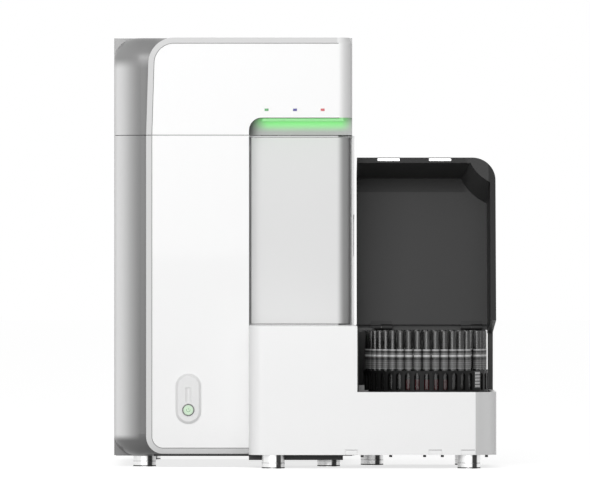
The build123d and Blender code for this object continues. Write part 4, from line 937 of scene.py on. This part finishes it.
class CYTOMETER_OT_bevel_lines(bpy.types.Operator):
    """Run fine dark lines along the front panels' bevels, and a dark line round the light pocket as painted
    shadow in its gap
    """

    bl_idname = "cytometer.bevel_lines"
    bl_label = "Bevel lines"

    def execute(self, context):
        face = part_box("front_panel_lower")[0].y
        finish = moulded("bevel_line", grey(112), roughness=0.5)
        left, above_seam, below_seam = -0.2498, 0.5417, 0.5403
        crown = arc((-0.21375, 0.658), 0.0325, 178.3, 90.0)
        upper = np.concatenate([[[left, above_seam]], crown, [[0.054, 0.6905]]])
        hem = arc((-0.2313, 0.0500), 0.0185, 180.0, 270.0)
        lower = np.concatenate([[[left, below_seam]], hem, [[-0.0920, 0.0315]]])
        for name, path, body in (("upper", upper, "top_cover"), ("lower", lower, "instrument")):
            line = moved(bent_bar(path, 0.0005, 6), (0.0, face, 0.0))
            make_piece(f"bevel_line_{name}", [line], finish, body)
        # painted shadow: a dark line in the gap round the light pocket
        corner = arc((-0.0708, 0.5485), 0.0205, 180.0, 90.0)
        mouth = np.concatenate([[[-0.0913, 0.5420]], corner, [[0.0555, 0.5690]]])
        shadow_line = moulded("pocket_shadow_line", grey(34), roughness=0.6)
        line = moved(bent_bar(mouth, 0.0006, 6), (0.0, face + 0.0004, 0.0))
        make_piece("pocket_shadow_line", [line], shadow_line, "top_cover")
        return {"FINISHED"}


class CYTOMETER_OT_underside(bpy.types.Operator):
    """Set the strip under the lower panel, the levelling clips and the small bumpers"""

    bl_idname = "cytometer.underside"
    bl_label = "Underside pieces"

    def execute(self, context):
        rubber = moulded("underside_rubber", grey(22), roughness=0.7)
        panel_low, panel_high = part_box("front_panel_lower")
        strip = moulded_block(
            (panel_low.x + 0.012, panel_low.y + 0.004, panel_low.z - 0.0036),
            (panel_high.x, panel_low.y + 0.0118, panel_low.z),
            0.0008, 0.0004, axis=0,
        )
        low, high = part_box("loader_housing")
        bumper = lathe([
            (0.0, 0.0), (0.0020, 0.0), (0.0026, -0.0008),
            (0.0026, -0.0030), (0.0018, -0.0036), (0.0, -0.0036),
        ], 16)
        places = [(x, low.y + 0.0042, low.z) for x in (0.0918, 0.1380, 0.1929, 0.2216, 0.2930)]
        bumpers = at_places(bumper, places)
        make_piece("underside_strip", [strip], rubber, "instrument")
        make_piece("underside_bumpers", [bumpers], rubber, "instrument")
        front, back, top = low.y + 0.0003, low.y + 0.0036, low.z + 0.0076
        clips = [
            moulded_block((start, front, low.z), (end, back, top), 0.0006, 0.0003, axis=1)
            for start, end in ((0.0646, 0.0839), (0.1998, 0.2209), (0.2519, 0.2744))
        ]
        white = moulded("clip_white", tuple(context.scene.cytometer_shell.white), roughness=0.35)
        make_piece("levelling_clips", clips, white, "instrument")
        return {"FINISHED"}


class CYTOMETER_OT_fan_guard(bpy.types.Operator):
    """Bend the wire guard behind the fan's louvres"""

    bl_idname = "cytometer.fan_guard"
    bl_label = "Fan guard"

    def execute(self, context):
        low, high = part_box("fan_frame")
        middle = ((low.x + high.x) / 2, high.y - 0.0012, (low.z + high.z) / 2)
        circle = np.arange(48) * TURN / 48
        wires = []
        for radius in (0.010, 0.018, 0.026, 0.034):
            ring = np.stack([radius * np.cos(circle), radius * np.sin(circle)], axis=-1)
            wires.append(moved(bent_bar(ring, 0.0008, 8, closed=True), middle))
        chrome = brushed("guard_wire", grey(200), roughness=0.2)
        make_piece("fan_guard", wires, chrome, "instrument")
        return {"FINISHED"}


def screw(radius, height):
    """A pan head on +Z with a slot-free dished top: its profile is a quarter ellipse and a shallow cup."""
    turn = np.linspace(0, TURN / 4, 6)
    dome = [(radius * math.cos(a), height * math.sin(a)) for a in turn[:-1]]
    cup = [(radius * 0.34, height * 0.98), (radius * 0.3, height * 0.5), (0.0, height * 0.42)]
    return lathe([(0.0, 0.0), (radius, 0.0)] + dome + cup, 20)


class CYTOMETER_OT_screws(bpy.types.Operator):
    """Set the screws of the rear panel, deck and lasers"""

    bl_idname = "cytometer.screws"
    bl_label = "Screws"

    def execute(self, context):
        steel = brushed("screw_steel", grey(178), roughness=0.3)
        low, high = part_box("rear_panel")
        rear = high.y
        head = screw(0.0032, 0.0018)
        points = np.stack([head[0][:, 0], head[0][:, 2], head[0][:, 1]], axis=-1)
        xs = np.linspace(low.x + 0.012, high.x - 0.012, 4)
        zs = (low.z + 0.02, (low.z + high.z) / 2, high.z - 0.03)
        places = [(x, rear, z) for x in xs for z in zs if x in (xs[0], xs[-1]) or z == zs[0]]
        heads = [at_places((points, head[1]), places)]
        make_piece("rear_panel_screws", heads, steel, "instrument")
        low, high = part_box("optical_deck")
        cap = lathe([
            (0.0, 0.0), (0.0035, 0.0), (0.0035, 0.003), (0.0031, 0.0034),
            (0.0016, 0.0034), (0.0016, 0.0016), (0.0, 0.0016),
        ], 20)
        inset = 0.014
        xs, ys = (low.x + inset, high.x - inset), (low.y + inset, high.y - inset)
        places = [(x, y, high.z) for x in xs for y in ys]
        make_piece("deck_bolts", [at_places(cap, places)], steel, "instrument")
        return {"FINISHED"}


class CYTOMETER_OT_lenses(bpy.types.Operator):
    """Fit the lens rims and coated windows on the detectors"""

    bl_idname = "cytometer.lenses"
    bl_label = "Detector lenses"

    def execute(self, context):
        front = -0.014
        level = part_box("optical_deck")[1].z + 0.030
        places = [(front, -0.040 + 0.046 * index, level) for index in range(4)]
        rim = lathe([
            (0.0095, 0.0), (0.0125, 0.0), (0.0125, -0.0020), (0.0118, -0.0028), (0.0095, -0.0020),
        ], 36)
        glass = lathe([(0.0, -0.0014), (0.0050, -0.0011), (0.0096, 0.0), (0.0, 0.0004)], 36)
        metal = brushed("lens_rim", grey(140), roughness=0.25)
        rims = [at_places(turned_to_right(rim), places)]
        make_piece("detector_rims", rims, metal, "instrument")
        coat = Finish("coated_window")
        swirl = coat.noise(60.0, 2.0)
        tint = coat.mix(swirl, linear(52, 40, 96), linear(40, 84, 96))
        coat.set(base_color=tint, roughness=0.08 + swirl * 0.03, coat_weight=0.8)
        windows = [at_places(turned_to_right(glass), places)]
        make_piece("detector_windows", windows, coat, "instrument")
        return {"FINISHED"}


class CYTOMETER_OT_board_parts(bpy.types.Operator):
    """Solder the chips and connectors on the main board"""

    bl_idname = "cytometer.board_parts"
    bl_label = "Board parts"

    def execute(self, context):
        low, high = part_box("main_board")
        face = high.x
        sizes = [
            (0.020, 0.020, 0.0022), (0.014, 0.014, 0.0016), (0.010, 0.028, 0.0020), (0.012, 0.034, 0.0080),
        ]
        chips, sockets = [], []
        rows = np.linspace(low.z + 0.02, high.z - 0.04, 5)
        columns = np.linspace(low.y + 0.02, high.y - 0.04, 4)
        for row, z in enumerate(rows):
            for column, y in enumerate(columns):
                along, up, tall = sizes[(row * 3 + column) % 4]
                far = (face + tall, y + along, z + up)
                block = moulded_block((face, y, z), far, 0.0008, 0.0003, axis=0)
                (sockets if tall > 0.004 else chips).append(block)
        black = moulded("chip_black", grey(34), roughness=0.45)
        white = moulded("socket_white", grey(214), roughness=0.4)
        make_piece("board_chips", chips, black, "instrument")
        make_piece("board_sockets", sockets, white, "instrument")
        return {"FINISHED"}


# Stage


class CYTOMETER_OT_stage(bpy.types.Operator):
    """Set the pale floor, the soft studio light and the camera"""

    bl_idname = "cytometer.stage"
    bl_label = "Stage"

    def execute(self, context):
        settings = context.scene.cytometer_studio
        self.lay_floor()
        self.light(context, settings)
        self.aim_camera(context, settings)
        context.scene.view_settings.view_transform = "Standard"
        return {"FINISHED"}

    def lay_floor(self):
        """A flat sheet x = u, y = v at z = 0, white to the camera and mirrors, with the object's shadow."""
        span = np.linspace(-30, 30, 3)
        sheet = surface(lambda u, v: (u, v, u * 0.0), span, span)
        mesh = bpy.data.meshes.new("studio_floor")
        mesh.from_pydata(sheet[0].tolist(), [], sheet[1].tolist())
        finish = Finish("floor_paper")
        seen = finish.node("ShaderNodeLightPath", out="Is Camera Ray")
        seen = seen.math("MAXIMUM", seen, finish.node("ShaderNodeLightPath", out="Is Glossy Ray"))
        seen = seen.math("MAXIMUM", seen, finish.node("ShaderNodeLightPath", out="Is Transmission Ray"))
        paper = finish.noise(40.0, 3.0)
        finish.set(base_color=finish.mix(paper, grey(208), grey(212)), roughness=0.9)
        finish.shader.inputs["Specular IOR Level"].default_value = 0.0
        finish.set(emission_color=finish.scale_colour((1.0, 1.0, 1.0), seen * 0.72))
        finish.shader.inputs["Emission Strength"].default_value = 1.0
        mesh.materials.append(finish.material)
        floor = bpy.data.objects.new("studio_floor", mesh)
        bpy.context.scene.collection.objects.link(floor)

    def light(self, context, settings):
        """An even surround that cameras, mirrors and glass see as white, and two soft lights in front."""
        world = bpy.data.worlds.new("studio_surround")
        context.scene.world = world
        world.use_nodes = True
        tree = world.node_tree
        tree.nodes.clear()
        rays = tree.nodes.new("ShaderNodeLightPath")
        even = tree.nodes.new("ShaderNodeBackground")
        even.inputs[0].default_value = (1.0, 1.0, 1.0, 1.0)
        even.inputs[1].default_value = settings.surround
        white = tree.nodes.new("ShaderNodeBackground")
        white.inputs[0].default_value = (1.0, 1.0, 1.0, 1.0)
        white.inputs[1].default_value = 1.0
        blend = tree.nodes.new("ShaderNodeMixShader")
        output = tree.nodes.new("ShaderNodeOutputWorld")
        seen = rays.outputs["Is Camera Ray"]
        for kind in ("Is Glossy Ray", "Is Transmission Ray"):
            either = tree.nodes.new("ShaderNodeMath")
            either.operation = "MAXIMUM"
            tree.links.new(seen, either.inputs[0])
            tree.links.new(rays.outputs[kind], either.inputs[1])
            seen = either.outputs[0]
        tree.links.new(seen, blend.inputs[0])
        tree.links.new(even.outputs[0], blend.inputs[1])
        tree.links.new(white.outputs[0], blend.inputs[2])
        tree.links.new(blend.outputs[0], output.inputs[0])
        for name, place, size, power in (
            ("key_light", (-1.0, -4.8, 1.6), 2.6, settings.key),
            ("fill_light", (0.6, -5.0, 1.6), 3.0, settings.fill),
        ):
            lamp = bpy.data.lights.new(name, "AREA")
            lamp.shape = "SQUARE"
            lamp.size = size
            lamp.energy = power
            lamp_object = bpy.data.objects.new(name, lamp)
            lamp_object.location = place
            towards = Vector((0.0, 0.0, 0.35)) - Vector(place)
            lamp_object.rotation_euler = towards.to_track_quat("-Z", "Y").to_euler()
            context.scene.collection.objects.link(lamp_object)

    def aim_camera(self, context, settings):
        """Straight at the front: the picture is 0.9605 m wide at the main unit's front panels."""
        camera = bpy.data.cameras.new("camera")
        camera.sensor_width = 36.0
        camera.lens = 36.0 * settings.distance / 0.9605
        camera.clip_end = 200.0
        camera_object = bpy.data.objects.new("camera", camera)
        camera_object.location = (-0.01685, -0.258 - settings.distance, 0.3507)
        camera_object.rotation_euler = (math.pi / 2, 0.0, 0.0)
        context.scene.collection.objects.link(camera_object)
        context.scene.camera = camera_object


SETTINGS = (
    ("cytometer_shell", ShellSettings),
    ("cytometer_tubes", TubeSettings),
    ("cytometer_studio", StudioSettings),
)
OPERATORS = (
    CYTOMETER_OT_shell_finish,
    CYTOMETER_OT_frame_finish,
    CYTOMETER_OT_inside_finish,
    CYTOMETER_OT_loader_finish,
    CYTOMETER_OT_tubes,
    CYTOMETER_OT_labels,
    CYTOMETER_OT_samples,
    CYTOMETER_OT_home_ribs,
    CYTOMETER_OT_feet,
    CYTOMETER_OT_power_symbol,
    CYTOMETER_OT_bevel_lines,
    CYTOMETER_OT_underside,
    CYTOMETER_OT_fan_guard,
    CYTOMETER_OT_screws,
    CYTOMETER_OT_lenses,
    CYTOMETER_OT_board_parts,
    CYTOMETER_OT_stage,
)


class CYTOMETER_PT_pieces(bpy.types.Panel):
    """The instrument's settings, and a button for each group of pieces"""

    bl_idname = "CYTOMETER_PT_pieces"
    bl_label = "Flow cytometer"
    bl_space_type = "VIEW_3D"
    bl_region_type = "UI"
    bl_category = "Cytometer"

    def draw(self, context):
        for name, group in SETTINGS:
            box = self.layout.box()
            for key in group.__annotations__:
                box.prop(getattr(context.scene, name), key)
        column = self.layout.column()
        for operator in OPERATORS:
            column.operator(operator.bl_idname)


CLASSES = tuple(group for name, group in SETTINGS) + OPERATORS + (CYTOMETER_PT_pieces,)


def register():
    for cls in CLASSES:
        bpy.utils.register_class(cls)
    for name, group in SETTINGS:
        setattr(bpy.types.Scene, name, PointerProperty(type=group))


def unregister():
    for name, group in SETTINGS:
        delattr(bpy.types.Scene, name)
    for cls in reversed(CLASSES):
        bpy.utils.unregister_class(cls)


def main():
    """Registers the classes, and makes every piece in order."""
    register()
    for operator in OPERATORS:
        group, name = operator.bl_idname.split(".")
        getattr(getattr(bpy.ops, group), name)()


if __name__ == "__main__":
    main()
